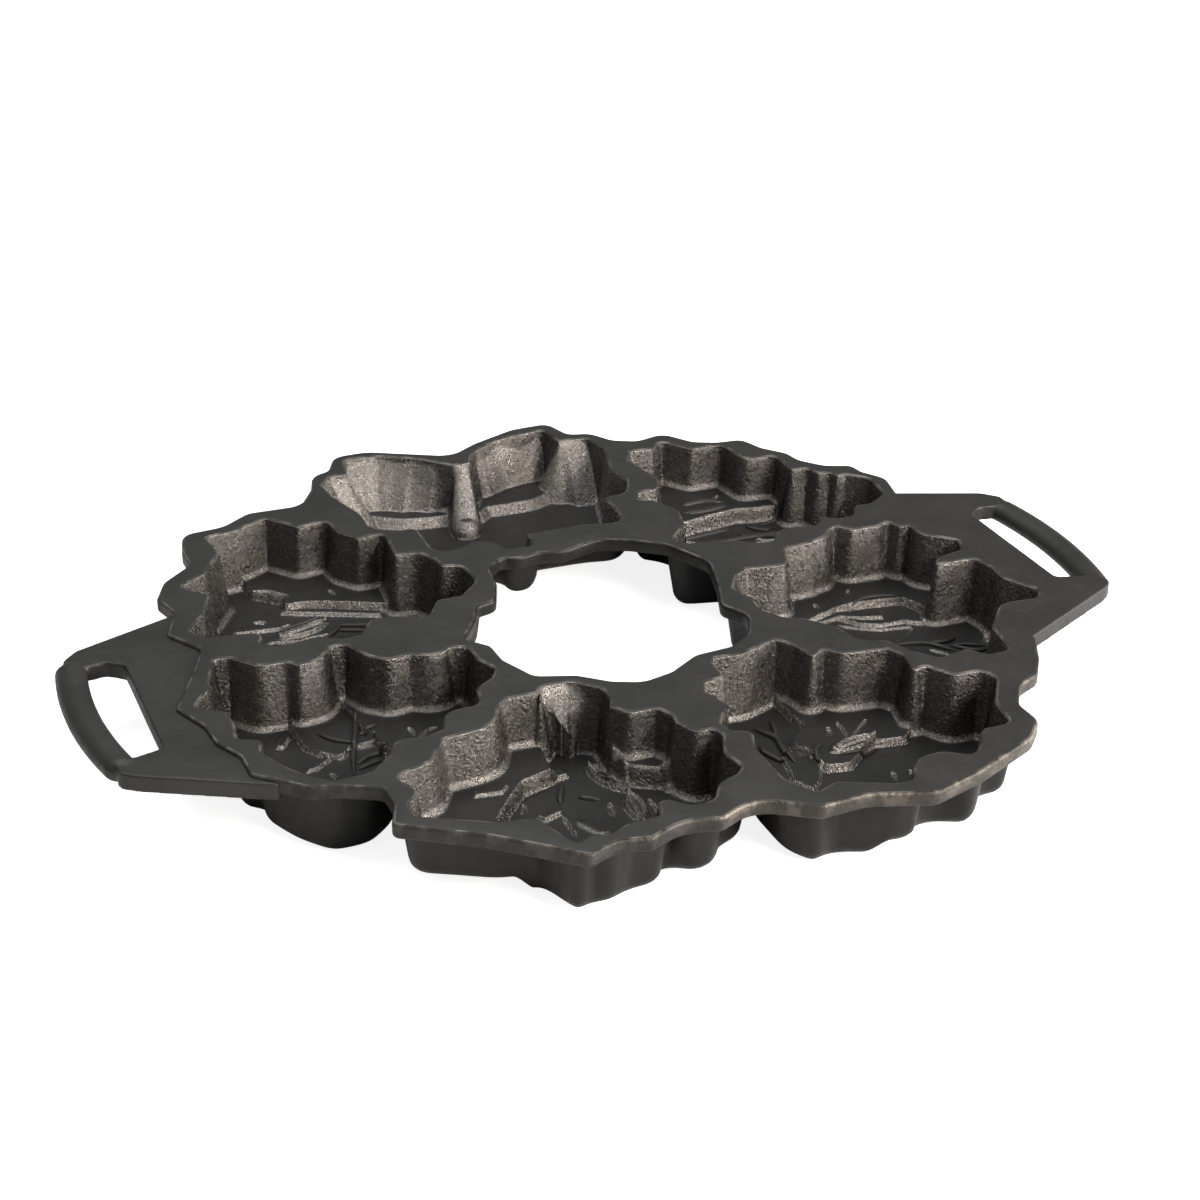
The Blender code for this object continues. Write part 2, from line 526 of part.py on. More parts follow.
def grip_x(y):
    """The grip's centre line: it bows outward and draws in towards both corners."""
    middle = FINGER_MIDDLE + FINGER_LENGTH * 0.1
    bow = (y - middle) / FINGER_LENGTH
    return opening_x() + FINGER_ROOM + GRIP_WIDTH / 2.0 - GRIP_BOW * bow * bow


def grip(name, collection, parent):
    """The rounded bar of a handle, flatter than it is wide, sunk into the tab at both ends."""
    side = -1.0 if name == "handle_left" else 1.0
    far = FINGER_MIDDLE + FINGER_LENGTH / 2.0 + FAR_WEB * 0.45
    near = FINGER_MIDDLE - FINGER_LENGTH / 2.0 - NEAR_WEB * 0.5
    curve = bpy.data.curves.new(name, "CURVE")
    curve.dimensions = "3D"
    curve.bevel_depth = GRIP_WIDTH / 2.0
    curve.bevel_resolution = 2
    curve.use_fill_caps = True
    spline = curve.splines.new("POLY")
    spline.points.add(GRIP_STATIONS - 1)
    for k, knot in enumerate(spline.points):
        share = k / (GRIP_STATIONS - 1)
        y = far + (near - far) * share
        knot.co = (side * grip_x(y), y, 0.0, 1.0)
        knot.radius = 0.62 if k in (0, GRIP_STATIONS - 1) else 1.0
    guide = add_object(name + "_path", curve, collection, None)
    guide.scale.z = GRIP_THICKNESS / GRIP_WIDTH
    guide.location.z = -TAB_DROP - TAB_THICKNESS / 2.0
    return solid_from_curve(guide, name + "_grip", collection, parent)


def cast_iron(name):
    """The seasoned iron of one region."""
    material = bpy.data.materials.new(name)
    material.use_nodes = True
    shader = material.node_tree.nodes["Principled BSDF"]
    shader.inputs["Base Color"].default_value = SEASONED
    shader.inputs["Roughness"].default_value = SEASONED_ROUGHNESS
    shader.inputs["Metallic"].default_value = SEASONED_METALLIC
    return material


def as_cutter(obj):
    """Marks an object as a helper that is left out of the pan."""
    obj.hide_render = True
    obj.display_type = "WIRE"
    return obj


def main():
    """Builds the pan: the pockets that form its cups first, then the iron round them."""
    for old in list(bpy.data.objects):
        bpy.data.objects.remove(old)
    pan = bpy.data.collections.new("cakelet_pan")
    cutters = bpy.data.collections.new("cutters")
    pockets = bpy.data.collections.new("pockets")
    for collection in (pan, cutters, pockets):
        bpy.context.scene.collection.children.link(collection)

    wreath = rounded(WREATH_EDGE)
    middle = (max(p.y for p in wreath) + min(p.y for p in wreath)) / 2.0
    frame = bpy.data.objects.new("pan_frame", None)
    pan.objects.link(frame)
    frame.location = (0.0, -middle, PAN_HEIGHT)

    rims = {name: [(rounded(knots), CUP_DEPTH)] for name, knots in LEAF_CUPS.items()}
    rims["bow_cup"] = [(rounded(BOW_LOOPS), CUP_DEPTH), (rounded(BOW_TAILS), TAIL_DEPTH)]
    for name, rooms in rims.items():
        others = [rim for other, found in rims.items() if other != name for rim, _ in found]
        shells = []
        for number, (rim, depth) in enumerate(rooms):
            levels = shell_levels(rim, depth + CUP_FLOOR, others)
            home = pan if number == 0 else cutters
            shells.append(loft(f"{name}_shell_{number}" if number else name, levels, home, frame))
        for extra in shells[1:]:
            combine(shells[0], "UNION", as_cutter(extra))
        hollows = []
        for number, (rim, depth) in enumerate(rooms):
            pocket = loft(f"{name}_pocket_{number}", cavity_levels(rim, depth), pockets, frame)
            hollows.append(as_cutter(pocket))
        for number, (rise, knots) in enumerate(STEPS[name]):
            outline = rounded(knots)
            floor = CUP_DEPTH - rise
            levels = step_levels(outline, floor, 0.0, CUP_DEPTH + CLEAR)
            block = loft(f"{name}_step_{number}", levels, cutters, frame)
            combine(hollows[0], "DIFFERENCE", as_cutter(block))
            levels = step_levels(outline, floor + CUP_FLOOR, CUP_WALL, PAN_HEIGHT + CLEAR)
            under = loft(f"{name}_underside_{number}", levels, cutters, frame)
            combine(shells[0], "DIFFERENCE", as_cutter(under))
        for pocket in hollows:
            combine(shells[0], "DIFFERENCE", pocket)

    outlines = [wreath, rounded(CENTRE_HOLE)]
    deck = plate("wreath_deck", outlines, 0.0, DECK_THICKNESS, pan, frame)
    ease(deck, EDGE_EASE, 1)
    hollow = deck.modifiers.new("cup_pockets", "BOOLEAN")
    hollow.operand_type = "COLLECTION"
    hollow.collection = pockets

    beside = offset(wreath, -JOIN_GAP)
    trim = plate("wreath_trim", [beside], CLEAR, PAN_HEIGHT, cutters, frame)
    as_cutter(trim)
    for name in TAB_ROOTS:
        tab = plate(name, [rounded(tab_outline(name))], -TAB_DROP, TAB_THICKNESS, pan, frame)
        combine(tab, "DIFFERENCE", trim)
        ease(tab, TAB_EASE, 2)
        combine(tab, "UNION", as_cutter(grip(name, cutters, frame)))

    for obj in pan.objects:
        if obj.type == "MESH":
            obj.data.materials.append(cast_iron(obj.name))


main()
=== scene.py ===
"""Dresses the cast iron wreath cakelet pan: deck, bow cup, six leaf cups and two loop handles.

Lengths are millimetres in the pan's own drawing, whose Z zero is the deck's top, unless a
comment says otherwise. The finishes and the studio use the frame's metres.
"""

import logging
import math
from dataclasses import dataclass
from enum import Enum
from typing import Iterable, Sequence

import bmesh
import bpy
import numpy as np
from mathutils import Matrix, Vector
from mathutils.geometry import delaunay_2d_cdt
from mathutils.kdtree import KDTree


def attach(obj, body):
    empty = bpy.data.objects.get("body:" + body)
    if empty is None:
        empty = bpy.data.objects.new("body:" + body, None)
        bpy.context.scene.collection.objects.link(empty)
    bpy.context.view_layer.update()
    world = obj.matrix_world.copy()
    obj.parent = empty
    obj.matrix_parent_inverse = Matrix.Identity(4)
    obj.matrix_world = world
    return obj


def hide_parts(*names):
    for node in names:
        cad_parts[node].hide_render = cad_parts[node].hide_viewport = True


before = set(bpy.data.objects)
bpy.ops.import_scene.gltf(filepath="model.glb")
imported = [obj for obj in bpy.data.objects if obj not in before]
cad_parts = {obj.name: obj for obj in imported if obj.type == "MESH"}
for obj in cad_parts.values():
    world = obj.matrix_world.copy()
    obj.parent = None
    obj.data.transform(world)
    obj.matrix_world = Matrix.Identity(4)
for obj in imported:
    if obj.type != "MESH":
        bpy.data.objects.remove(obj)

LOG = logging.getLogger("cakelet_pan")
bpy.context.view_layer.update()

# The drawing sits in the frame with its middle on the origin and its cups on the floor.
MM = 0.001
DRAWING_MIDDLE_Y = 5.2688
PAN_HEIGHT = 29.0

# How outlines are drawn and moved: the share of a side that two arcs may use, the sharpest
# mitre, the shortest side kept, and the longest side and the sag of a coarse outline.
ARC_SHARE = 0.96
SHARPEST_FACING = 0.25
SHORTEST_SIDE = 0.03
COARSE = (1.5, 0.05)

# How meshes are made: the least area of a region that is filled, the angle from which edges
# stay crisp, how close rows of even triangles lie, and how far loose points keep from the
# guides and from the wall, as shares of the grid.
LEAST_REGION = 0.01
CRISP_DEGREES = 50.0
ROW_SHARE = 0.866
GUIDE_CLEAR = 0.6
WALL_CLEAR = 0.5

# The worn colour on a cup's lip, partly real wear and partly a painted highlight on its rounding:
# at the flat, and at each row round it, which loses a little.
LIP_WEAR_AND_HIGHLIGHT = (0.25, 0.80, 0.15)

# How far a cup's outside keeps below the deck's underside.
LEAST_CASE = 0.4

# The middle part of a noise, and pure white.
MIDDLE = (0.3, 0.7)
WHITE = (1.0, 1.0, 1.0, 1.0)

NO_POINTS = np.zeros((0, 2))

Knots = list[tuple[float, float, float]]
Path = tuple[tuple[float, float], ...]
Pair = tuple[float, float]
Colour = tuple[float, float, float]

# The outlines: corner points and the radius that rounds each, clockwise from above.
WREATH_EDGE: Knots = [
    (-4, 157.2, 10), (10, 166.5, 20), (30, 175.4, 14), (47.5, 176.38, 6), (51.6, 161, 5),
    (61, 158.4, 8), (67, 147.6, 8), (76.5, 142.6, 8), (90, 146.4, 7), (99, 132.6, 8),
    (108, 128.4, 10), (119.6, 127.4, 6), (123.6, 115.4, 10), (131, 106, 6), (132.6, 97, 10),
    (140, 87.6, 10), (150.4, 83.6, 5), (151.4, 76, 4), (157.4, 66, 8), (153.6, 48, 6),
    (144, 36, 5), (150.5, 21, 8), (163, 5, 5), (162, -5, 5), (157, -15, 6), (159, -29, 8),
    (167, -44, 6), (167, -57, 5), (150, -63.4, 8), (140.4, -70.4, 5), (137.6, -84.6, 5),
    (131, -97.6, 8), (123.6, -108.4, 8), (113.6, -113.2, 8), (106.2, -124.6, 8), (106.6, -137, 8),
    (98, -146.6, 12), (72, -159.2, 20), (51, -166, 7.7), (30, -158.6, 18), (13, -159.8, 4),
    (-5, -147.6, 14), (-18.6, -154.4, 2.5), (-31, -151.2, 16), (-43.8, -156.8, 2),
    (-55, -154.2, 14), (-65.4, -158.8, 2.5), (-90, -137, 40), (-116.6, -119.4, 3),
    (-112.4, -108, 6), (-112.4, -97.2, 4), (-126, -90.4, 8), (-133.4, -88.6, 2.5),
    (-144.6, -77.8, 8), (-149.8, -73, 4), (-150, -60, 8), (-155.4, -48.6, 4), (-156.4, -36, 8),
    (-162.6, -20.6, 2.5), (-150.4, 6, 14), (-144.6, 20, 4), (-153.4, 35.6, 3), (-147, 52.6, 4),
    (-150.6, 66, 5), (-145, 79.4, 8), (-132.4, 91.2, 8), (-132.6, 103, 10), (-128.8, 119.8, 7),
    (-112, 121.4, 14), (-99.6, 130.6, 8), (-77.6, 130, 9), (-69, 145, 12), (-65.2, 157.4, 9),
    (-57, 161, 6), (-51, 174.6, 8), (-36, 174.8, 14),
]
CENTRE_HOLE: Knots = [
    (-19, 51.8, 4), (-12, 49, 8), (-4, 51.2, 10), (6, 48.4, 12), (22, 54, 12), (34, 48.4, 10),
    (46, 39, 12), (54.6, 19, 12), (49.4, 0, 12), (43.2, -17, 5), (49, -29, 8), (42.6, -42, 8),
    (33, -48.8, 8), (18, -50, 10), (5, -58.6, 10), (-7, -61.6, 10), (-17, -57, 8),
    (-26.6, -48.4, 8), (-40.4, -43.4, 5), (-46.6, -28, 8), (-47, -16, 5), (-54, -7.6, 3),
    (-45, 6, 8), (-41.6, 15, 4), (-33, 17.6, 5), (-27.6, 32, 8), (-26, 44, 6),
]
BOW_LOOPS: Knots = [
    (-47.8, 169.6, 4), (-33, 168.6, 14), (-19, 159.8, 14), (-6.2, 146.4, 1), (1, 147.2, 1),
    (6.5, 157.5, 8), (20, 166.2, 14), (43.2, 170.6, 3.5), (44.6, 154.9, 1.2), (57.6, 154.4, 4),
    (60.2, 140, 12), (54.2, 118.5, 12), (56.2, 104, 9), (50, 91.4, 8), (39.6, 91.6, 3),
    (40.4, 80, 9), (38.6, 65.6, 5), (24, 69.2, 5), (-1.6, 69.6, 1.2), (-2.4, 58.4, 4.5),
    (-13.6, 58.4, 3.5), (-17, 67.5, 4), (-24.5, 71, 5), (-32, 64.8, 6), (-41, 68, 6),
    (-40.6, 91.4, 3), (-48, 91.2, 8), (-57.6, 97, 9), (-57.4, 114, 10), (-62.4, 131, 10),
    (-64.2, 146, 6), (-58.6, 153.6, 3), (-51, 154.8, 1),
]
UPPER_RIGHT_LEAVES: Knots = [
    (64.6, 124, 2), (69, 133.2, 2), (78.8, 132.2, 1), (85.8, 138.2, 2.5), (94.8, 125.7, 1.2),
    (108.8, 125.3, 3.5), (111.2, 106.8, 4), (125, 105.6, 3.5), (124.6, 88.2, 1.2),
    (131.6, 87.8, 2.5), (133.6, 81, 1.5), (138.6, 80.4, 2), (139.8, 75.8, 1), (143.6, 75.8, 1.5),
    (151, 68.6, 6), (149, 51.8, 8), (139, 45.2, 4), (132, 45.6, 2), (127.4, 37.2, 4),
    (120, 36.8, 3), (113.5, 40.8, 1.5), (109.8, 33.6, 3), (97, 36, 5), (91.5, 34.5, 3),
    (86.5, 26.6, 4), (80, 27.3, 4), (72, 33.2, 6), (53, 37.6, 3), (50.2, 43, 2.5), (60.4, 55, 6),
    (63.8, 68, 7), (58.4, 80.2, 5), (51.6, 83.5, 2.5), (55, 90.6, 3), (64, 91.6, 4),
    (68.6, 99.5, 6), (66.8, 112, 8),
]
RIGHT_LEAVES: Knots = [
    (53.4, -6, 4), (60, 4.4, 7), (66, 8.4, 3.5), (75.4, 6, 2), (81.2, 5.4, 4), (87.6, 19.2, 5),
    (98.5, 19.8, 6), (107, 23, 5), (114.5, 31.6, 2.2), (119.8, 24.8, 2), (131, 24, 4),
    (136.8, 26.8, 2), (139.4, 20.6, 1), (143.4, 20.4, 1.5), (143, 11, 8), (154.2, 0.6, 2.5),
    (151, -8, 4), (138, -11, 5), (134.8, -16.2, 1), (151.6, -16.2, 3), (153.6, -27, 8),
    (152.6, -36, 8), (160, -50, 3), (156, -55.6, 3.5), (140, -55, 8), (127.2, -71, 9),
    (124.6, -88.6, 4.5), (115, -88.8, 3.5), (110, -82, 3), (98, -84.8, 3), (91, -76, 5),
    (87, -66, 3), (77.4, -61, 4), (75.2, -49, 6), (66.4, -38, 5), (60.5, -35.2, 2.5),
    (55.2, -26, 5), (56.6, -17, 6),
]
LOWER_RIGHT_LEAVES: Knots = [
    (20.8, -69, 2), (21.6, -54.4, 3), (34, -55.8, 10), (49.6, -49.4, 2.4), (54.6, -57, 6),
    (56.6, -66.8, 1), (62.2, -62.6, 1.8), (67.4, -68.6, 3), (83.8, -71, 3.5), (87.2, -78, 5),
    (84.4, -90, 1.2), (89.8, -87.4, 2.5), (96, -98.2, 4), (106.2, -98.4, 3.5), (109.2, -105, 5),
    (98.8, -121, 8), (96.8, -135.4, 4), (85.2, -134.8, 5), (79.4, -144, 5), (74, -149.8, 4.5),
    (66, -143, 8), (57, -143.6, 5), (51.6, -148.6, 4), (48.8, -155.6, 2.5), (41.6, -155.6, 2.5),
    (24, -147.4, 5), (15.6, -151.2, 2), (9.6, -140, 6), (9.4, -118.4, 4), (14, -107, 4),
    (7, -105, 1.6), (6, -98.8, 2.5), (13.6, -87, 7), (10, -76, 2.5), (12.4, -70.2, 2.5),
]
FRONT_LEAVES: Knots = [
    (-105.6, -91.2, 2.5), (-92, -86.2, 7), (-84.8, -74, 5), (-65, -71.4, 12), (-57.6, -55.4, 5),
    (-44.3, -55.7, 1), (-40.8, -51.8, 3.5), (-30.4, -51.6, 5), (-22.2, -60.4, 6), (-22, -68, 5),
    (-24.6, -74, 1.2), (-20, -80.6, 3), (-10.2, -80.8, 3), (-7.2, -87, 4), (-8, -92.2, 1.2),
    (-4.4, -100.8, 2), (2.4, -101.2, 2.5), (3.2, -106, 3), (-1.6, -117, 7), (0.4, -127.4, 3),
    (-3.4, -131.2, 3), (-11, -134, 6), (-17, -143.4, 5), (-25, -143.2, 5), (-30.4, -137, 3),
    (-34.4, -138, 3), (-36.2, -145.6, 3), (-47, -145.6, 8), (-55.6, -149.8, 3), (-60.4, -147.4, 3),
    (-66.6, -151.4, 2), (-73, -132.4, 4), (-85.8, -129.6, 4), (-101.6, -120.6, 5), (-109, -117, 4),
    (-107.4, -108.6, 4), (-101.4, -103.4, 5), (-105.4, -96.4, 2.5),
]
LOWER_LEFT_LEAVES: Knots = [
    (-141.9, 11.2, 2.4), (-136.4, 10, 3), (-128.4, -0.4, 6), (-118.4, -0.6, 4),
    (-114.8, -4.8, 1.2), (-107, -3.6, 8), (-101, 4.6, 3), (-95.2, 4.6, 2.5), (-90.6, -7, 9),
    (-84.4, -12.8, 4), (-76.4, -11.4, 3), (-66.8, -16.8, 9), (-61.4, -11.6, 2.5),
    (-55.2, -13.8, 3.5), (-54.8, -25, 6), (-51.2, -33, 4), (-55, -39.2, 4), (-62.6, -44.4, 5),
    (-64.6, -56, 5), (-78, -56.6, 6), (-82.2, -67.6, 3), (-90.6, -70.4, 3), (-99, -67.8, 5),
    (-104.4, -77.6, 6), (-113.4, -86, 7), (-127.4, -86.4, 8), (-136.6, -74, 8), (-142.8, -60, 6),
    (-140.4, -52, 2.5), (-148.2, -48.2, 3), (-146.2, -38, 8), (-147, -28.8, 4),
    (-156.2, -21.6, 2.5), (-148.6, -9.6, 5),
]
UPPER_LEFT_LEAVES: Knots = [
    (-120.9, 113.8, 2.5), (-108, 116, 12), (-94.4, 123.4, 2.2), (-84, 110.2, 1.2),
    (-72.2, 112, 3.2), (-70.6, 99, 9), (-64.8, 90.8, 1.5), (-54, 91.4, 3.2), (-56, 70.2, 1),
    (-47, 69.4, 6), (-42.6, 60, 6), (-42.2, 53.8, 1), (-35.2, 52, 5.5), (-33.8, 37, 8),
    (-44, 26.2, 4), (-53.5, 26.2, 1.5), (-60.6, 14.4, 3), (-74, 20.2, 6), (-81.5, 19.8, 3),
    (-88, 9.2, 4), (-95.5, 8.8, 4), (-102, 14.2, 5), (-118.4, 12, 2.5), (-123.6, 17, 2.5),
    (-119.4, 24.6, 4), (-140, 28.4, 2.5), (-145.2, 35.4, 2.5), (-137.2, 47, 8),
    (-131.2, 61.8, 1.2), (-139.8, 73.2, 2.5), (-128.4, 81.8, 8), (-119.2, 97, 1.2),
]
CUP_RIMS: dict[str, Knots] = {
    "bow_cup": BOW_LOOPS,
    "upper_right_cup": UPPER_RIGHT_LEAVES,
    "right_cup": RIGHT_LEAVES,
    "lower_right_cup": LOWER_RIGHT_LEAVES,
    "front_cup": FRONT_LEAVES,
    "lower_left_cup": LOWER_LEFT_LEAVES,
    "upper_left_cup": UPPER_LEFT_LEAVES,
}

# Where a leaf or a loop of ribbon lies over the next, the floor steps up: by how much, and where.
STEPS: dict[str, list[tuple[float, Knots]]] = {
    "bow_cup": [
        (10.5, [
            (-40.5, 93.8, 1), (40, 93.8, 1), (43.5, 90.8, 1), (47, 80, 2), (45, 54, 2),
            (-47, 54, 2), (-47, 80, 2), (-43.5, 90.6, 1),
        ]),
        (4.2, [
            (-6, 158, 2), (8, 176, 3), (44, 184, 3), (51, 160, 2), (45, 155, 2), (40, 153.5, 3),
            (36, 149.5, 5), (29.5, 146, 8), (18, 145.5, 8), (8, 146, 4), (2.5, 141, 2),
            (-2.6, 143, 2),
        ]),
        (4.2, [
            (-64, 176, 3), (-48, 184, 3), (-20, 178, 3), (1, 158, 2), (-2.6, 142, 2),
            (-8, 143.5, 3), (-18, 144.5, 8), (-28.5, 146.5, 8), (-36, 151, 6), (-44, 158.5, 4),
            (-51, 156, 2), (-60, 161, 3),
        ]),
    ],
    "upper_right_cup": [
        (6.5, [
            (60, 104, 3), (56, 126, 3), (66, 142, 3), (86, 148, 3), (100, 142, 3), (122, 134, 3),
            (131, 112, 2), (131, 97, 2), (121, 96, 4), (112, 97, 4), (104, 99, 4), (90, 97, 5),
            (79, 94.5, 4), (72, 96, 3),
        ]),
    ],
    "right_cup": [
        (3, [
            (77, 16, 2), (82, 30, 3), (114, 44, 3), (145, 40, 3), (154, 24, 3), (166, 4, 3),
            (158, -15.6, 2), (138, -15.6, 2), (135.5, -12, 2), (135.5, -5, 4), (132.5, 3, 5),
            (111.5, 6, 12), (103, 4.5, 10), (88.5, -1, 6), (82, -3, 2), (78, 2, 2),
        ]),
    ],
    "lower_right_cup": [
        (3, [
            (48, -40, 3), (88, -56, 3), (98, -74, 3), (97, -85, 2), (90, -86.8, 2), (84, -91, 2),
            (79.5, -96, 2), (73.5, -95, 4), (67, -94, 4), (61, -98, 3), (53, -105, 4),
            (43, -103, 3), (45, -93, 4), (40, -84.5, 3), (44, -79.5, 3), (50, -76, 3),
        ]),
        (5, [(37, -140, 3), (53, -140, 3), (57, -166, 3), (33, -166, 3)]),
    ],
    "front_cup": [
        (6, [
            (-118, -84, 3), (-92, -74, 3), (-86, -64, 3), (-66, -60, 2), (-60, -46, 2),
            (-43, -46, 2), (-44.5, -60, 2), (-46.5, -75, 2), (-58.5, -78.5, 4), (-65.5, -86.5, 6),
            (-75, -98.5, 6), (-75, -112, 6), (-73.5, -122, 3), (-72.5, -140, 3), (-120, -132, 3),
        ]),
        (8, [
            (-24.4, -74.6, 1), (-18, -68, 2), (-8, -66, 3), (4, -74, 3), (2, -93, 2), (-9, -93, 2),
            (-14, -90.5, 3), (-21, -86, 4), (-26, -79.5, 2),
        ]),
        (1.8, [
            (-80, -119, 3), (12, -117, 3), (12, -140, 3), (-20, -156, 3), (-76, -162, 3),
        ]),
    ],
    "lower_left_cup": [
        (3.8, [
            (-101, 12, 2), (-84, 12, 2), (-70, -2, 3), (-44, -3, 3), (-42, -46, 3), (-52, -53, 2),
            (-62, -40.5, 3), (-80, -38.5, 6), (-91, -39.5, 3), (-95, -32, 3), (-94, -24, 3),
            (-97.5, -19.5, 3), (-97, -10, 3),
        ]),
        (2, [
            (-119.5, 12, 2), (-90, 12, 2), (-87, -12, 3), (-88, -24, 3), (-97, -27, 3),
            (-104, -27.5, 3), (-108.4, -32.5, 2), (-115, -27.6, 4), (-119, -20.7, 4),
            (-119.5, -10, 4),
        ]),
    ],
    "upper_left_cup": [
        (3.7, [
            (-108, 128, 3), (-62, 122, 3), (-45, 98, 3), (-48, 76, 2), (-56, 71, 2),
            (-62, 74.3, 3), (-81.5, 84, 12), (-91, 87, 8), (-98.2, 86, 2), (-95, 93, 3),
            (-106, 104, 3),
        ]),
    ],
}

# Risers that reach further out than the usual share of their height.
WIDE_RISERS = {("bow_cup", 4.2): 3.2}


# ---- outlines

def rounded(knots: Knots, spacing: float = 0.6, sag: float = 0.02) -> np.ndarray:
    """The closed outline of these corner points, with a true arc at each corner.

    Args:
        knots: corner points with the radius that rounds each one.
        spacing: the longest side left in the outline.
        sag: how far a chord may stand off its arc.

    Returns:
        The outline's points, clockwise from above, as rows of x and y.
    """
    corners = np.array([(x, y) for x, y, _ in knots], float)
    radii = np.array([r for _, _, r in knots], float)
    count = len(corners)
    sides = np.roll(corners, -1, 0) - corners
    lengths = np.hypot(sides[:, 0], sides[:, 1])
    units = sides / lengths[:, None]
    before = np.roll(units, 1, 0)
    turn = before[:, 0] * units[:, 1] - before[:, 1] * units[:, 0]
    bends = np.abs(np.arctan2(turn, (before * units).sum(1)))
    wanted = radii * np.tan(bends / 2.0)
    ring: list[np.ndarray] = []
    for i in range(count):
        tangent = wanted[i]
        for side, other in ((i - 1, wanted[i - 1]), (i, wanted[(i + 1) % count])):
            room = lengths[side] * ARC_SHARE
            if wanted[i] + other > room:
                tangent = min(tangent, room * wanted[i] / (wanted[i] + other))
        start = corners[i] - units[i - 1] * tangent
        end = corners[i] + units[i] * tangent
        radius = tangent / max(math.tan(bends[i] / 2.0), 1e-6)
        chord = 2.0 * math.acos(max(0.0, 1.0 - sag / max(radius, sag)))
        pieces = max(1, math.ceil(bends[i] / chord), math.ceil(bends[i] * radius / spacing))
        weight = math.cos(bends[i] / 2.0)
        for k in range(pieces + 1):
            u = k / pieces
            shares = ((1.0 - u) ** 2, 2.0 * u * (1.0 - u) * weight, u * u)
            total = start * shares[0] + corners[i] * shares[1] + end * shares[2]
            ring.append(total / sum(shares))
    points = np.array(ring)
    filled: list[np.ndarray] = []
    for a, b in zip(points, np.roll(points, -1, 0)):
        steps = max(1, math.ceil(np.hypot(*(b - a)) / spacing))
        filled.extend(a + (b - a) * (k / steps) for k in range(steps))
    return np.array(filled)


def moved_rings(
    ring: np.ndarray, insets: Sequence[float], step: float = 0.12
) -> list[np.ndarray]:
    """The ring moved inward to each inset in turn, with its number of points kept.

    Points that meet on the way go on together, so that neighbouring rings can be joined.

    Args:
        ring: the outline, clockwise from above.
        insets: rising distances inward, or falling ones outward, from the outline.
        step: the longest single move.

    Returns:
        One ring for each inset.
    """
    points, owner, at = ring.copy(), np.arange(len(ring)), 0.0
    rings = []
    for inset in insets:
        steps = max(1, math.ceil(abs(inset - at) / step))
        for _ in range(steps):
            points, owner = _small_move(points, owner, (inset - at) / steps)
        at = inset
        rings.append(points[owner])
    return rings


def _small_move(
    points: np.ndarray, owner: np.ndarray, step: float
) -> tuple[np.ndarray, np.ndarray]:
    """One small move of a ring: every side goes square to itself and short sides close up.

    Args:
        points: the ring's separate points.
        owner: which of them each point of the first ring has become.
        step: how far the sides move inward.

    Returns:
        The moved points, and which of them each point of the first ring has become.
    """
    along = np.roll(points, -1, 0) - points
    along /= np.maximum(np.hypot(along[:, 0], along[:, 1]), 1e-9)[:, None]
    normals = np.stack([along[:, 1], -along[:, 0]], 1)
    back = np.roll(normals, 1, 0)
    facing = np.maximum(1.0 + (normals * back).sum(1), SHARPEST_FACING)
    moved = points + (normals + back) / facing[:, None] * step
    opened = ((np.roll(moved, -1, 0) - moved) * along).sum(1) > SHORTEST_SIDE
    if opened.all():
        return moved, owner
    first = int(np.flatnonzero(opened)[0]) + 1
    order = (np.arange(len(points)) + first) % len(points)
    starts = np.concatenate([[True], opened[order - 1][1:]])
    group = np.cumsum(starts) - 1
    place = np.empty(len(points), int)
    place[order] = group
    sums = np.zeros((group[-1] + 1, 2))
    np.add.at(sums, group, moved[order])
    return sums / np.bincount(group)[:, None], place[owner]


def inside(points: np.ndarray, ring: np.ndarray) -> np.ndarray:
    """Which of the points lie inside a closed ring.

    Args:
        points: rows of x and y.
        ring: the ring's points in order.

    Returns:
        True or False for each point.
    """
    found = np.zeros(len(points), bool)
    x, y = points[:, 0], points[:, 1]
    for a, b in zip(ring, np.roll(ring, -1, 0)):
        crosses = (a[1] > y) != (b[1] > y)
        if crosses.any():
            at = a[0] + (y[crosses] - a[1]) * (b[0] - a[0]) / (b[1] - a[1])
            found[crosses] ^= x[crosses] < at
    return found


def distance_to_path(
    points: np.ndarray, path: Iterable, closed: bool = False
) -> tuple[np.ndarray, np.ndarray]:
    """How far points are from a path, and where along it the nearest place of each is.

    Args:
        points: rows of x and y.
        path: the path's corners in order.
        closed: whether the path ends where it starts.

    Returns:
        Each point's distance, and the place from 0 at the path's start to 1 at its end.
    """
    knots = np.array(list(path), float)
    if closed:
        knots = np.vstack([knots, knots[:1]])
    lengths = np.hypot(*(knots[1:] - knots[:-1]).T)
    starts = np.concatenate([[0.0], np.cumsum(lengths)])
    nearest = np.full(len(points), np.inf)
    along = np.zeros(len(points))
    for i, (a, b) in enumerate(zip(knots, knots[1:])):
        side = b - a
        share = np.clip((points - a) @ side / max(side @ side, 1e-12), 0.0, 1.0)
        apart = np.hypot(*(points - a - share[:, None] * side).T)
        closer = apart < nearest
        nearest[closer] = apart[closer]
        along[closer] = (starts[i] + share[closer] * lengths[i]) / starts[-1]
    return nearest, along


def depth_inside(points: np.ndarray, ring: np.ndarray) -> np.ndarray:
    """How far inside a closed ring the points lie, below 0 for those outside it."""
    apart, _ = distance_to_path(points, ring, closed=True)
    return np.where(inside(points, ring), apart, -apart)


def smooth(value: np.ndarray, low: float, high: float) -> np.ndarray:
    """A soft step from 0 at low to 1 at high."""
    u = np.clip((value - low) / (high - low), 0.0, 1.0)
    return u * u * (3.0 - 2.0 * u)


def soft_max(a: np.ndarray, b: np.ndarray, blend: float) -> np.ndarray:
    """The higher of two surfaces, with a small fillet where they meet."""
    h = np.clip(0.5 + 0.5 * (a - b) / blend, 0.0, 1.0)
    return b * (1.0 - h) + a * h + blend * h * (1.0 - h)


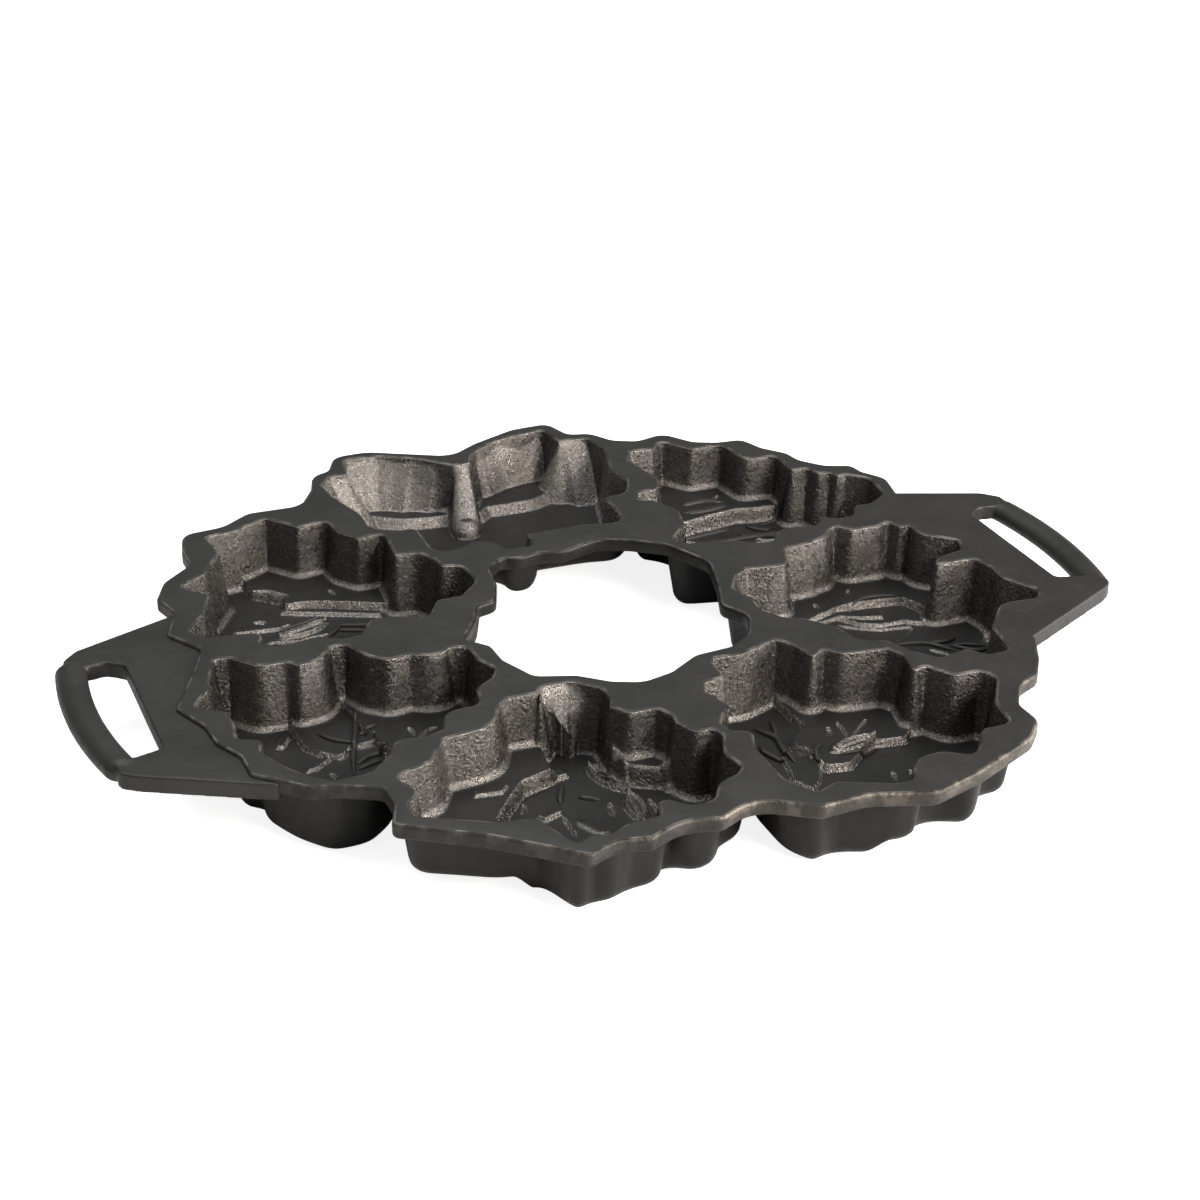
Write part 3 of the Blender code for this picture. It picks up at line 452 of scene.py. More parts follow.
def nearest_distance(points: np.ndarray, ring: np.ndarray) -> np.ndarray:
    """How far each point is from the nearest point of a dense ring.

    Args:
        points: rows of x and y.
        ring: the ring's points.

    Returns:
        One distance for each point.
    """
    tree = KDTree(len(ring))
    for i, (x, y) in enumerate(ring):
        tree.insert((x, y, 0.0), i)
    tree.balance()
    return np.array([tree.find((x, y, 0.0))[2] for x, y in points])


def curved(path: Path, spacing: float) -> np.ndarray:
    """Points along a smooth curve through a path's corners.

    Args:
        path: the corners in order.
        spacing: about how far apart the points are.

    Returns:
        Rows of x and y.
    """
    knots = np.array([path[0], *path, path[-1]], float)
    line = []
    for a, b, c, d in zip(knots, knots[1:], knots[2:], knots[3:]):
        count = max(2, math.ceil(np.hypot(*(c - b)) / spacing))
        for u in np.arange(count) / count:
            line.append(0.5 * (
                2.0 * b + (c - a) * u + (2.0 * a - 5.0 * b + 4.0 * c - d) * u**2
                + (3.0 * b - a - 3.0 * c + d) * u**3
            ))
    return np.array([*line, knots[-1]])


def softened(ring: np.ndarray, rounds: int) -> np.ndarray:
    """Eases the corners of a closed ring.

    Args:
        ring: the ring's points in order.
        rounds: how often each point moves halfway to the middle of its neighbours.

    Returns:
        The eased ring.
    """
    for _ in range(rounds):
        ring = ring * 0.5 + (np.roll(ring, 1, 0) + np.roll(ring, -1, 0)) * 0.25
    return ring


def distinct(ring: np.ndarray) -> np.ndarray:
    """The ring without points that repeat the one before."""
    return ring[np.hypot(*(ring - np.roll(ring, 1, 0)).T) > 1e-7]


# ---- mesh making

class Skin(Enum):
    """The kinds of surface that the casting has, each told apart by an attribute of its name."""

    DECK = "deck"
    HOLLOW = "hollow"
    CASE = "case"
    SIDE = "side"


class Shell:
    """Collects the points and faces of one piece, in drawing millimetres, and makes its mesh."""

    def __init__(self) -> None:
        """Starts with nothing."""
        self.points: list[np.ndarray] = []
        self.faces: list[tuple[int, ...]] = []
        self.wear_and_highlight: list[np.ndarray] = []
        self.skins: list[Skin] = []
        self.count = 0

    def add(
        self, xy: np.ndarray, z: np.ndarray | float, wear_and_highlight: float = 0.0, skin: Skin = Skin.DECK
    ) -> np.ndarray:
        """Adds points.

        Args:
            xy: rows of x and y.
            z: one height, or one for each point.
            wear_and_highlight: how worn these points are, which is partly real wear and partly a
                painted highlight, from 0 to 1.
            skin: what kind of surface they belong to.

        Returns:
            The numbers of the new points.
        """
        heights = np.broadcast_to(np.asarray(z, float), (len(xy),))
        self.points.append(np.column_stack([xy, heights]))
        self.wear_and_highlight.append(np.full(len(xy), wear_and_highlight))
        self.skins += [skin] * len(xy)
        numbers = np.arange(self.count, self.count + len(xy))
        self.count += len(xy)
        return numbers

    def strip(self, rows: Sequence[np.ndarray], flip: bool = False) -> None:
        """Joins closed rows of equal length, each to the next, with quads.

        Args:
            rows: the numbers of the points in each row.
            flip: whether the faces look the other way.
        """
        for upper, lower in zip(rows, rows[1:]):
            for a, b, c, d in zip(upper, np.roll(upper, -1), np.roll(lower, -1), lower):
                self.faces.append((a, d, c, b) if flip else (a, b, c, d))

    def triangles(self, numbers: np.ndarray, found: Iterable, flip: bool = False) -> None:
        """Adds triangles.

        Args:
            numbers: the numbers of some points.
            found: the triangles, as places in that list.
            flip: whether they look down.
        """
        for a, b, c in found:
            face = (int(numbers[a]), int(numbers[b]), int(numbers[c]))
            self.faces.append(face[::-1] if flip else face)

    def plate(self, ring: np.ndarray, top: float, bottom: float) -> None:
        """Adds a closed flat plate.

        Args:
            ring: the plate's outline, clockwise from above.
            top: the height of its upper face.
            bottom: the height of its lower face.
        """
        places, found = fill([ring], NO_POINTS)
        self.triangles(self.add(places, top), found)
        self.triangles(self.add(places, bottom), found, flip=True)
        own = distinct(ring)
        self.strip([self.add(own, top), self.add(own, bottom)], flip=True)

    def make(self, name: str) -> bpy.types.Object:
        """Makes the finished piece in the frame's metres.

        Args:
            name: the piece's name.

        Returns:
            The new object.
        """
        mesh = bpy.data.meshes.new(name)
        points = in_frame(np.vstack(self.points))
        mesh.from_pydata(points.tolist(), [], [tuple(map(int, f)) for f in self.faces])
        shares = {"wear_and_highlight": np.concatenate(self.wear_and_highlight)}
        for skin in (Skin.HOLLOW, Skin.CASE, Skin.SIDE):
            shares[skin.value] = np.array([s is skin for s in self.skins])
        for key, values in shares.items():
            share = mesh.attributes.new(key, "FLOAT", "POINT")
            share.data.foreach_set("value", values.astype(np.float32))
        clean(mesh, 2e-7, 1e-8)
        mesh.set_sharp_from_angle(angle=math.radians(CRISP_DEGREES))
        return placed(name, mesh)


def in_frame(points: np.ndarray) -> np.ndarray:
    """The points of the drawing, in millimetres, as points of the frame, in metres."""
    return (points + (0.0, -DRAWING_MIDDLE_Y, PAN_HEIGHT)) * MM


def placed(name: str, data: bpy.types.ID) -> bpy.types.Object:
    """Puts a new object in the scene.

    Args:
        name: its name.
        data: its mesh, lamp or camera.

    Returns:
        The new object.
    """
    obj = bpy.data.objects.new(name, data)
    bpy.context.scene.collection.objects.link(obj)
    return obj


def clean(mesh: bpy.types.Mesh, merge: float, sliver: float = 0.0) -> None:
    """Merges the points of a mesh that coincide, turns its faces outward and shades it smooth.

    Args:
        mesh: the mesh to change.
        merge: how near points count as one, in metres.
        sliver: how short sides are taken out, in metres, or 0 for none.
    """
    body = bmesh.new()
    body.from_mesh(mesh)
    bmesh.ops.remove_doubles(body, verts=body.verts, dist=merge)
    if sliver:
        bmesh.ops.dissolve_degenerate(body, edges=body.edges, dist=sliver)
    bmesh.ops.recalc_face_normals(body, faces=body.faces)
    body.to_mesh(mesh)
    body.free()
    mesh.shade_smooth()


def settle(obj: bpy.types.Object) -> None:
    """Turns what an object's modifiers make into its own mesh.

    Args:
        obj: the object to change.
    """
    graph = bpy.context.evaluated_depsgraph_get()
    mesh = bpy.data.meshes.new_from_object(obj.evaluated_get(graph))
    obj.modifiers.clear()
    obj.data = mesh
    mesh.name = obj.name


def regions(triangles: np.ndarray, walls: set[tuple[int, int]]) -> np.ndarray:
    """Numbers the regions that the walls cut a flat net of triangles into.

    Args:
        triangles: rows of three point numbers.
        walls: edges, as rising pairs of point numbers, that part one region from the next.

    Returns:
        The number of each triangle's region.
    """
    beside: dict[tuple[int, int], list[int]] = {}
    rows = [
        [tuple(sorted(edge)) for edge in ((a, b), (b, c), (c, a))]
        for a, b, c in triangles.tolist()
    ]
    for i, edges in enumerate(rows):
        for edge in edges:
            beside.setdefault(edge, []).append(i)
    region = np.full(len(rows), -1)
    count = 0
    for start in range(len(rows)):
        if region[start] >= 0:
            continue
        region[start] = count
        waiting = [start]
        while waiting:
            for edge in rows[waiting.pop()]:
                for other in beside[edge] if edge not in walls else ():
                    if region[other] < 0:
                        region[other] = count
                        waiting.append(other)
        count += 1
    return region


def fill(rings: Sequence[np.ndarray], points: np.ndarray) -> tuple[np.ndarray, list]:
    """Triangles of the flat region inside the first ring and outside the others.

    Args:
        rings: the outer ring, then any holes.
        points: loose points inside the region.

    Returns:
        All the points, rings first, and the triangles that join them, facing up.
    """
    loops = [distinct(ring) for ring in rings]
    edges, at = [], 0
    for ring in loops:
        count = len(ring)
        edges += [(at + i, at + (i + 1) % count) for i in range(count)]
        at += count
    every = np.vstack([*loops, points])
    made = delaunay_2d_cdt([Vector(p) for p in every], edges, [], 0, 1e-6, True)
    places = np.array([tuple(v) for v in made[0]])
    triangles = np.array([face for face in made[2] if len(face) == 3])
    walls = {tuple(sorted(edge)) for edge, source in zip(made[1], made[4]) if source}
    region = regions(triangles, walls)
    middles = places[triangles].mean(1)
    kept = inside(middles, loops[0])
    for hole in loops[1:]:
        kept &= ~inside(middles, hole)
    a, b, c = (places[triangles[:, k]] for k in range(3))
    areas = np.abs((b - a)[:, 0] * (c - a)[:, 1] - (b - a)[:, 1] * (c - a)[:, 0])
    whole = np.bincount(region, areas)
    wanted = (np.bincount(region, areas * kept) > 0.5 * whole) & (whole > LEAST_REGION)
    return places, triangles[wanted[region]].tolist()


# ---- floor relief

@dataclass(frozen=True)
class Rise:
    """A raised platform with a soft riser all round, or a sunk one where its height is below 0."""

    outline: Path
    height: float
    riser: float = 1.4

    def over(self, points: np.ndarray, floor: np.ndarray) -> np.ndarray:
        """The floor's heights with this platform on it."""
        depth = depth_inside(points, np.array(self.outline, float))
        return floor + self.height * smooth(depth, -self.riser / 2.0, self.riser / 2.0)


@dataclass(frozen=True)
class Stroke:
    """A tapered rib along a path, or a cut where its height is below 0."""

    path: Path
    width: float
    height: float
    taper: float = 0.25
    thinnest: float = 0.06
    spread: float = 1.25

    def over(self, points: np.ndarray, floor: np.ndarray) -> np.ndarray:
        """The floor's heights with this rib or cut on it.

        Args:
            points: rows of x and y.
            floor: the floor's height at each point.

        Returns:
            The new heights.
        """
        apart, along = distance_to_path(points, self.path)
        thin = np.sqrt(np.clip(np.minimum(along, 1.0 - along) / self.taper, self.thinnest, 1.0))
        reach = self.width / 2.0 * thin * self.spread
        return floor + self.height * thin * smooth(reach - apart, 0.0, self.width / 2.0)


@dataclass(frozen=True)
class Almond:
    """A small raised leaf: a pointed oval with a rim and a midrib."""

    stem: tuple[float, float]
    tip: tuple[float, float]
    width: float
    height: float
    point: float = 1.4
    rim: tuple[float, float] = (1.2, 2.6)
    dish: float = 0.55
    rib_half: float = 0.9

    def over(self, points: np.ndarray, floor: np.ndarray) -> np.ndarray:
        """The floor's heights with this leaf on it.

        Args:
            points: rows of x and y.
            floor: the floor's height at each point.

        Returns:
            The new heights.
        """
        a, b = np.array(self.stem, float), np.array(self.tip, float)
        axis = b - a
        length = np.hypot(*axis)
        axis /= length
        u = (points - a) @ axis / length
        v = np.abs((points - a) @ np.array([-axis[1], axis[0]]))
        oval = np.sqrt(np.clip(4.0 * u * (1.0 - u), 0.0, 1.0)) ** self.point
        edge = self.width / 2.0 * oval
        body = smooth(edge - v, 0.0, self.rim[0]) * ((u > 0.0) & (u < 1.0))
        dish = self.dish * smooth(edge - v, *self.rim)
        rib = self.dish * smooth(self.rib_half - v, 0.0, self.rib_half)
        return floor + self.height * body * (1.0 - dish + rib)


@dataclass(frozen=True)
class Bank:
    """A wall that leans back much more than the draft, falling away from a path along the rim."""

    path: Path
    falls: tuple[tuple[float, float], ...]
    top: float = 1.0
    blend: float = 1.2

    def over(self, points: np.ndarray, surface: np.ndarray) -> np.ndarray:
        """The hollow's heights with this leaning wall in it.

        Args:
            points: rows of x and y.
            surface: the hollow's height at each point.

        Returns:
            The new heights.
        """
        apart, along = distance_to_path(points, self.path)
        fall = np.interp(along, [at for at, _ in self.falls], [fall for _, fall in self.falls])
        return soft_max(surface, -self.top - fall * apart, self.blend)


@dataclass(frozen=True)
class Knot:
    """A half cone that leans from a notch in the rim down to the floor and ends round."""

    start: tuple[float, float, float]
    end: tuple[float, float, float]
    radii: tuple[float, float]
    steepness: float = 5.0
    blend: float = 1.0

    def over(self, points: np.ndarray, surface: np.ndarray) -> np.ndarray:
        """The hollow's heights with this half cone in it.

        Args:
            points: rows of x and y.
            surface: the hollow's height at each point.

        Returns:
            The new heights.
        """
        a, b = np.array(self.start, float), np.array(self.end, float)
        axis = (b - a)[:2]
        length = np.hypot(*axis)
        axis /= length
        u = np.clip((points - a[:2]) @ axis / length, 0.0, 1.0)
        v = np.hypot(*(points - a[:2] - u[:, None] * axis * length).T)
        radius = self.radii[0] + (self.radii[1] - self.radii[0]) * u
        crest = a[2] + (b[2] - a[2]) * u
        round_top = crest - radius + np.sqrt(np.clip(radius**2 - v**2, 0.0, None))
        side = crest - radius - (v - radius) * self.steepness
        return soft_max(surface, np.where(v < radius, round_top, side), self.blend)


# ---- what lies on the floors

# Cuts, low platforms and small leaves that are pressed into each floor.
RELIEF: dict[str, list] = {
    "bow_cup": [
        Stroke(((-30, 88), (-24, 78), (-22, 73)), 4, -1.4),
        Stroke(((24, 89), (22, 80), (24, 73)), 4, -1.2),
    ],
    "upper_right_cup": [
        Stroke(((74, 89.6), (77, 87), (80.6, 84.4)), 3.4, -1.4),
        Almond((99.6, 70.6), (110, 70.4), 5, 1.3),
        Almond((103, 78.2), (111.6, 73.4), 4, 1.3),
        Stroke(((103.1, 115), (98.1, 110.1)), 1.8, -1),
    ],
    "right_cup": [
        Rise(((89.5, -0.8), (96.2, 2.1), (105.1, 4.2), (116.9, 1.4), (120.4, -2), (118.7, -6),
            (110, -3.4), (103.1, 0.3), (94.2, -1.8)), 1.3, 1.2),
        Rise(((101.9, -0.6), (105.8, -3.1), (113, -7.9), (118.1, -9), (125.2, -8.1),
            (132.6, -14.8), (130.2, -16.7), (124.9, -12.7), (114.2, -12.1), (107.4, -8.4)),
            1.4, 1.2),
        Rise(((100.2, -4.6), (107, -9.8), (114, -13.6), (125.6, -15.6), (125.1, -18.1),
            (120.1, -21.6), (114.1, -24.6), (106, -18)), -0.9, 1.4),
        Rise(((147.9, -34.6), (151.5, -39.7), (149.9, -45.3), (146, -43), (145, -38)), -1.6, 1.4),
        Stroke(((115.7, 17.6), (111.9, 10.4)), 1.7, -1.1),
        Stroke(((97, 10.6), (96.1, 6.2)), 1.7, -1.1),
        Stroke(((100.3, -17.8), (99.4, -20.2)), 1.7, -1.1),
        Stroke(((122.6, -35.2), (127.9, -42.7)), 1.8, -1.1),
    ],
    "lower_right_cup": [
        Rise(((33.7, -90), (32.3, -99.4), (30.3, -105.9), (34.3, -113.9), (38.9, -109.3),
            (44.1, -100.5), (40, -93), (36.6, -88.4)), 1.5, 1.2),
        Almond((49.4, -96.6), (70, -92), 8.4, 1.7),
        Stroke(((61.6, -77), (59.8, -89.5)), 1.7, -1.2),
        Stroke(((61.2, -90.1), (72.9, -79.2)), 1.7, -1.2),
        Stroke(((57.2, -79.2), (54.6, -85.9)), 1.7, -1.2),
        Stroke(((65.9, -111.1), (63.9, -117.6)), 1.9, -1.2),
        Stroke(((72.3, -112.3), (70.3, -117.3)), 1.9, -1.2),
    ],
    "front_cup": [
        Rise(((-44.6, -68.6), (-40.4, -67.6), (-39.8, -73.4), (-44.2, -74.4)), 1.9, 1),
        Almond((-31, -68.6), (-23.8, -91), 9, 1.9),
        Almond((-24.6, -90.6), (-27, -110.6), 8.4, 1.8),
        Rise(((-59, -94.4), (-49.1, -90.9), (-50.6, -95.2), (-57.2, -97.6)), 1.5, 1.1),
        Rise(((-75.7, -79.5), (-64.3, -80.6), (-67.6, -84.6), (-77, -83.4)), 1.2, 1.1),
        Rise(((-12.6, -90.2), (-4.4, -92.8), (-4.2, -97.4), (-11.8, -95.2)), 1.4, 1.1),
        Stroke(((-47.5, -99.8), (-42.6, -109.9), (-38.6, -111.5)), 5, 0.9),
        Stroke(((-50.6, -95.8), (-51.1, -104.4), (-51.2, -111.1)), 1.8, -1.4),
        Stroke(((-32.6, -93.5), (-35.5, -103.9)), 2, -1.2),
        Stroke(((-19.4, -95.8), (-20.6, -111.5)), 2, -1.2),
        Stroke(((-60, -83.6), (-61.2, -88.7), (-63.1, -90)), 1.7, -1.1),
    ],
    "lower_left_cup": [
        Stroke(((-81, -33.9), (-75.1, -29.6), (-72, -29)), 1.7, -1.1),
        Stroke(((-81.9, -25), (-81.7, -32)), 1.6, -1),
        Stroke(((-114.6, -39.8), (-114.1, -44.4)), 1.7, -1.1),
        Rise(((-127.6, -16.7), (-125.8, -11.3), (-122.8, -9.4), (-121.6, -11.6), (-125.6, -17.6)),
            1.2, 1),
        Rise(((-122.3, -36.7), (-119.4, -32.7), (-113, -29.3), (-112.4, -31.8), (-118.4, -36.2)),
            1.2, 1),
    ],
    "upper_left_cup": [
        Rise(((-99, 85.8), (-91, 85.9), (-81.9, 82.2), (-62.3, 72.4), (-63.3, 69), (-82.5, 78),
            (-91.9, 82)), 1.5, 1.2),
        Rise(((-120.6, 76.8), (-115.1, 78.3), (-102.8, 75.4), (-98.1, 75.1), (-102.8, 72.4),
            (-119.6, 74.4)), 1.3, 1.1),
        Almond((-105.6, 65.4), (-83.6, 72.6), 10, 1.8),
        Stroke(((-113.6, 61.3), (-108.5, 63.4), (-97.6, 60.6), (-84.8, 63.4)), 2.4, -1.5),
        Stroke(((-105.8, 103.8), (-99.4, 100.2), (-93.2, 92.9)), 1.9, -1.2),
        Stroke(((-110.9, 83.4), (-106, 80.6)), 2.6, -1.2),
        Stroke(((-77.5, 93.4), (-76.4, 87.1)), 1.8, -1.1),
    ],
}

# Walls that lean back more than the draft, and the half cone in the bow's notch.
LEANS: dict[str, list] = {
    "bow_cup": [
        Bank(((3, 151), (6.5, 157.5), (12.5, 162.2), (20, 166.2), (31, 169.3), (43.2, 170.6)),
            ((0, 7), (0.25, 3.4), (1, 3))),
        Bank(((45, 154.9), (57.6, 154.4)), ((0, 2.3), (0.25, 1.62), (1, 1.55))),
        Bank(((-47.8, 169.6), (-40, 169.2), (-33, 168.4), (-26, 165), (-19, 159.8), (-7.5, 147.9)),
            ((0, 2.2), (0.2, 1.95), (0.6, 1.95), (0.85, 3.2), (1, 8))),
        Bank(((-64, 141), (-63.4, 147), (-58.6, 153.6), (-51.6, 155)), ((0, 4), (0.3, 1.8),
            (1, 1.9))),
        Knot((-2.6, 146.6, -0.9), (-6.4, 131, -18.4), (3.4, 6.2)),
    ],
    "front_cup": [
        Bank(((-43.6, -57), (-42.4, -53.4), (-39.6, -51.9), (-35.5, -51.6), (-31, -51.8),
            (-27, -55), (-22.4, -60.6)), ((0, 6), (0.22, 1.8), (0.42, 1.45), (0.62, 2), (1, 7)),
            1.2),
    ],
}


@dataclass(frozen=True)
class Rib:
    """One raised twig or vein: its path over a floor, its width, its height and its thin ends."""

    path: Path
    width: float
    height: float
    taper: float = 0.3


RIBS: dict[str, list[Rib]] = {
    "upper_right_cup": [
        Rib(((84, 110.1), (92.8, 111.1), (101.6, 107.5)), 3.2, 1.2, 0.2),
        Rib(((81, 102.3), (90.9, 101.6), (102.6, 103.7)), 3.2, 1.2, 0.2),
        Rib(((76.6, 91), (88.4, 92.6), (100, 93.8)), 3, 1.2, 0.2),
        Rib(((71.2, 81.4), (82.2, 82.6), (98.3, 82.6), (121.4, 82.2)), 2.6, 1.4),
        Rib(((106.4, 94.6), (107.7, 90.4), (111.9, 86.5), (117.2, 87.7)), 2, 1.2),
        Rib(((113.5, 92), (121.3, 93.4), (124.9, 88)), 2, 1.2),
        Rib(((99.9, 86.8), (103.3, 81.1)), 2, 1.1),
        Rib(((104.5, 79.7), (108.2, 81.5), (115.2, 78.7)), 1.8, 1.1),
    ],
    "right_cup": [
        Rib(((111.1, 5.6), (120.2, 7.7), (132, 4.6)), 1.8, 1),
        Rib(((113.2, -27.8), (123.5, -31.1), (131.3, -40.5)), 2.2, 1.3),
        Rib(((123.5, -31.1), (131.5, -32.5), (137.1, -31.2)), 2, 1.2),
        Rib(((131.9, -36.3), (138.4, -43.4), (144.5, -44.1)), 1.9, 1.2),
        Rib(((131.9, -36.3), (138, -38), (144, -41.2)), 1.8, 1.1),
    ],
    "lower_right_cup": [
        Rib(((33.8, -66.7), (38.2, -75.5), (37.6, -81.3), (36.6, -88.4), (36, -96)), 2.6, 1.7),
        Rib(((41.9, -63.7), (40.7, -70.3), (38.2, -76.5)), 2.2, 1.4),
        Rib(((30.8, -78.6), (30.3, -83.8), (33.7, -92.6)), 2.2, 1.5),
        Rib(((51.1, -98.7), (60.5, -98.9), (69, -95.4)), 1.3, 1),
        Rib(((43.2, -100.4), (45.6, -93), (50, -90)), 1.8, 1.2),
    ],
    "front_cup": [
        Rib(((-43.1, -76.3), (-48.5, -88.3)), 2.4, 1.4),
        Rib(((-41.4, -86.9), (-35, -91)), 2.4, 1.2),
        Rib(((-18.5, -75.2), (-13.8, -75.7)), 1.6, 0.9),
        Rib(((-30.6, -77.5), (-27.6, -80.5)), 1.1, 2.4),
        Rib(((-29.6, -82), (-26.6, -84.5)), 1.1, 2.3),
    ],
    "lower_left_cup": [
        Rib(((-95.5, -5.4), (-100.6, -22), (-104.6, -33), (-107.6, -44.4)), 2.2, 1.5),
        Rib(((-99.4, -21.4), (-95, -20.6), (-91.3, -19.3)), 1.9, 1.2),
        Rib(((-104.4, -37.4), (-98.7, -34), (-92.1, -33.6)), 2.1, 1.3),
        Rib(((-105.2, -41.2), (-99, -39), (-95.5, -38.5)), 1.8, 1.1),
        Rib(((-101.6, -26.4), (-108, -22), (-112.6, -15)), 1.8, 1.1),
    ],
    "upper_left_cup": [
        Rib(((-104.8, 66.2), (-96, 69.6), (-85.6, 72.2)), 1.3, 2.6, 0.2),
        Rib(((-81.8, 68.3), (-72.8, 64.7), (-65.1, 63.4)), 1.8, 1.1),
        Rib(((-82.3, 63.9), (-72.3, 59.8)), 1.8, 1.1),
        Rib(((-91.2, 56.5), (-82.1, 64.7), (-80, 70)), 1.8, 1.2),
    ],
}


# ---- cups

@dataclass
class Cup:
    """One cup of the pan: a drafted hollow with relief on its floor, and the shell round it."""

    name: str
    knots: Knots
    steps: list[tuple[float, Knots]]
    relief: list
    leans: list
    depth: float = 25.5
    draft: float = math.radians(7.0)
    fillet: float = 3.0
    rim_round: float = 0.9
    rim_rows: int = 5
    lap: float = 1.3
    wall: float = 3.5
    wall_band: float = 3.15
    wall_row: float = 0.22
    floor: float = 3.5
    deck: float = 5.5
    heel: float = 6.0
    heel_rows: int = 6
    case_row: float = 3.0
    last_case_row: float = 0.5
    case_gap: float = 0.05
    riser_share: float = 0.2
    riser_ease: float = 0.35
    case_ease: float = 4.0
    grid: float = 0.42
    quick_grid: float = 0.8
    case_grid: float = 1.4

    def __post_init__(self) -> None:
        """Draws the rim, the ring on the deck that this cup shares with it, and the steps."""
        self.rim = rounded(self.knots)
        self.lap_ring = moved_rings(self.rim, [-self.lap])[0]
        self.ledges = [
            (rise, rounded(knots, 0.5), WIDE_RISERS.get((self.name, rise), self.riser_share * rise))
            for rise, knots in self.steps
        ]

    def rise_at(self, points: np.ndarray, inset: float, ease: float) -> np.ndarray:
        """How far the floor is stepped up.

        Args:
            points: rows of x and y.
            inset: how far inside each step's outline its edge lies.
            ease: how far the riser's soft top and foot reach.

        Returns:
            One height for each point, 0 on the lowest floor.
        """
        risen = np.zeros(len(points))
        for rise, ring, lean in self.ledges:
            depth = depth_inside(points, ring) - inset
            risen = np.maximum(risen, rise * smooth(depth, -lean - ease, ease))
        return risen

    def guides(self) -> np.ndarray:
        """Lines that the mesh follows, so that the steps' edges and feet stay crisp.

        Returns:
            Points along the lines, as rows of x and y.
        """
        lines = [NO_POINTS]
        for _, ring, lean in self.ledges:
            lines += moved_rings(ring, [self.riser_ease])
            lines += moved_rings(ring, [-lean / 2.0, -lean - self.riser_ease])
        return np.vstack(lines)

    def profile(self, inset: np.ndarray, depth: np.ndarray, radius: float) -> np.ndarray:
        """The height of a drafted wall that ends in a rounded foot on a floor.

        Args:
            inset: how far each point is inside the wall's line at the deck's top.
            depth: how deep the floor is at each point.
            radius: the radius of the foot.

        Returns:
            One height for each point.
        """
        foot = (depth - radius * (1.0 - math.sin(self.draft))) * math.tan(self.draft)
        centre = foot + radius * math.cos(self.draft)
        arc = np.sqrt(np.clip(radius**2 - (centre - inset) ** 2, 0.0, None))
        bend = -(depth - radius) - arc
        wall = -inset / math.tan(self.draft)
        return np.where(inset < foot, wall, np.where(inset < centre, bend, -depth))

    def hollow(self, points: np.ndarray, inset: np.ndarray) -> np.ndarray:
        """The height of the hollow's surface.

        Args:
            points: rows of x and y.
            inset: how far each point is inside the rim.

        Returns:
            One height for each point.
        """
        surface = -self.depth + self.rise_at(points, 0.0, self.riser_ease)
        for form in self.relief:
            surface = form.over(points, surface)
        surface = self.profile(inset, -surface, self.fillet)
        for form in self.leans:
            surface = form.over(points, surface)
        return surface

    def case(self, points: np.ndarray, inset: np.ndarray) -> np.ndarray:
        """The height of the shell's outside at points that are this far inside the rim."""
        full = self.depth + self.floor - self.rise_at(points, self.wall, self.case_ease)
        return self.profile(inset + self.wall, full, self.heel)

    def build(self, others: Sequence[np.ndarray]) -> bpy.types.Object:
        """Makes the cup as one closed piece.

        Args:
            others: the rims of the neighbouring cups, which its shell keeps clear of.

        Returns:
            The new object.
        """
        shell = Shell()
        self._case(shell, self._line(shell), others)
        return shell.make(self.name + "_casting")

    def _line(self, shell: Shell) -> np.ndarray:
        """Adds the inside, from the flat of the deck down to the middle of the floor.

        Args:
            shell: what the points and faces are added to.

        Returns:
            The numbers of the points along its upper edge.
        """
        swing = math.pi / 2.0 - self.draft
        tangent = self.rim_round * math.tan(swing / 2.0)
        lip = [(-tangent, 0.0, LIP_WEAR_AND_HIGHLIGHT[0])]
        for k in range(1, self.rim_rows + 1):
            turn = swing * k / self.rim_rows
            drop = self.rim_round * (1.0 - math.cos(turn))
            inset = -tangent + self.rim_round * math.sin(turn)
            lip.append((inset, -drop, LIP_WEAR_AND_HIGHLIGHT[1] - LIP_WEAR_AND_HIGHLIGHT[2] * k))
        flat = [row for row in lip if row[0] < 0.0]
        bent = lip[len(flat):]
        insets = [row[0] for row in bent]
        insets += list(np.arange(insets[-1] + self.wall_row, self.wall_band, self.wall_row))
        rings = moved_rings(self.rim, [row[0] for row in flat][::-1])[::-1]
        inner = moved_rings(self.rim, insets)
        rows = [shell.add(self.lap_ring, 0.0)]
        rows += [shell.add(ring, z, wear_and_highlight) for ring, (_, z, wear_and_highlight) in zip(rings, flat)]
        rows += [shell.add(ring, z, wear_and_highlight, Skin.HOLLOW) for ring, (_, z, wear_and_highlight) in zip(inner, bent)]
        for inset, ring in zip(insets[len(bent):], inner[len(bent):]):
            heights = self.hollow(ring, np.full(len(ring), inset))
            rows.append(shell.add(ring, heights, 0.0, Skin.HOLLOW))
        shell.strip(rows)
        self._middle(shell, inner[-1], insets[-1], Skin.HOLLOW)
        return rows[0]

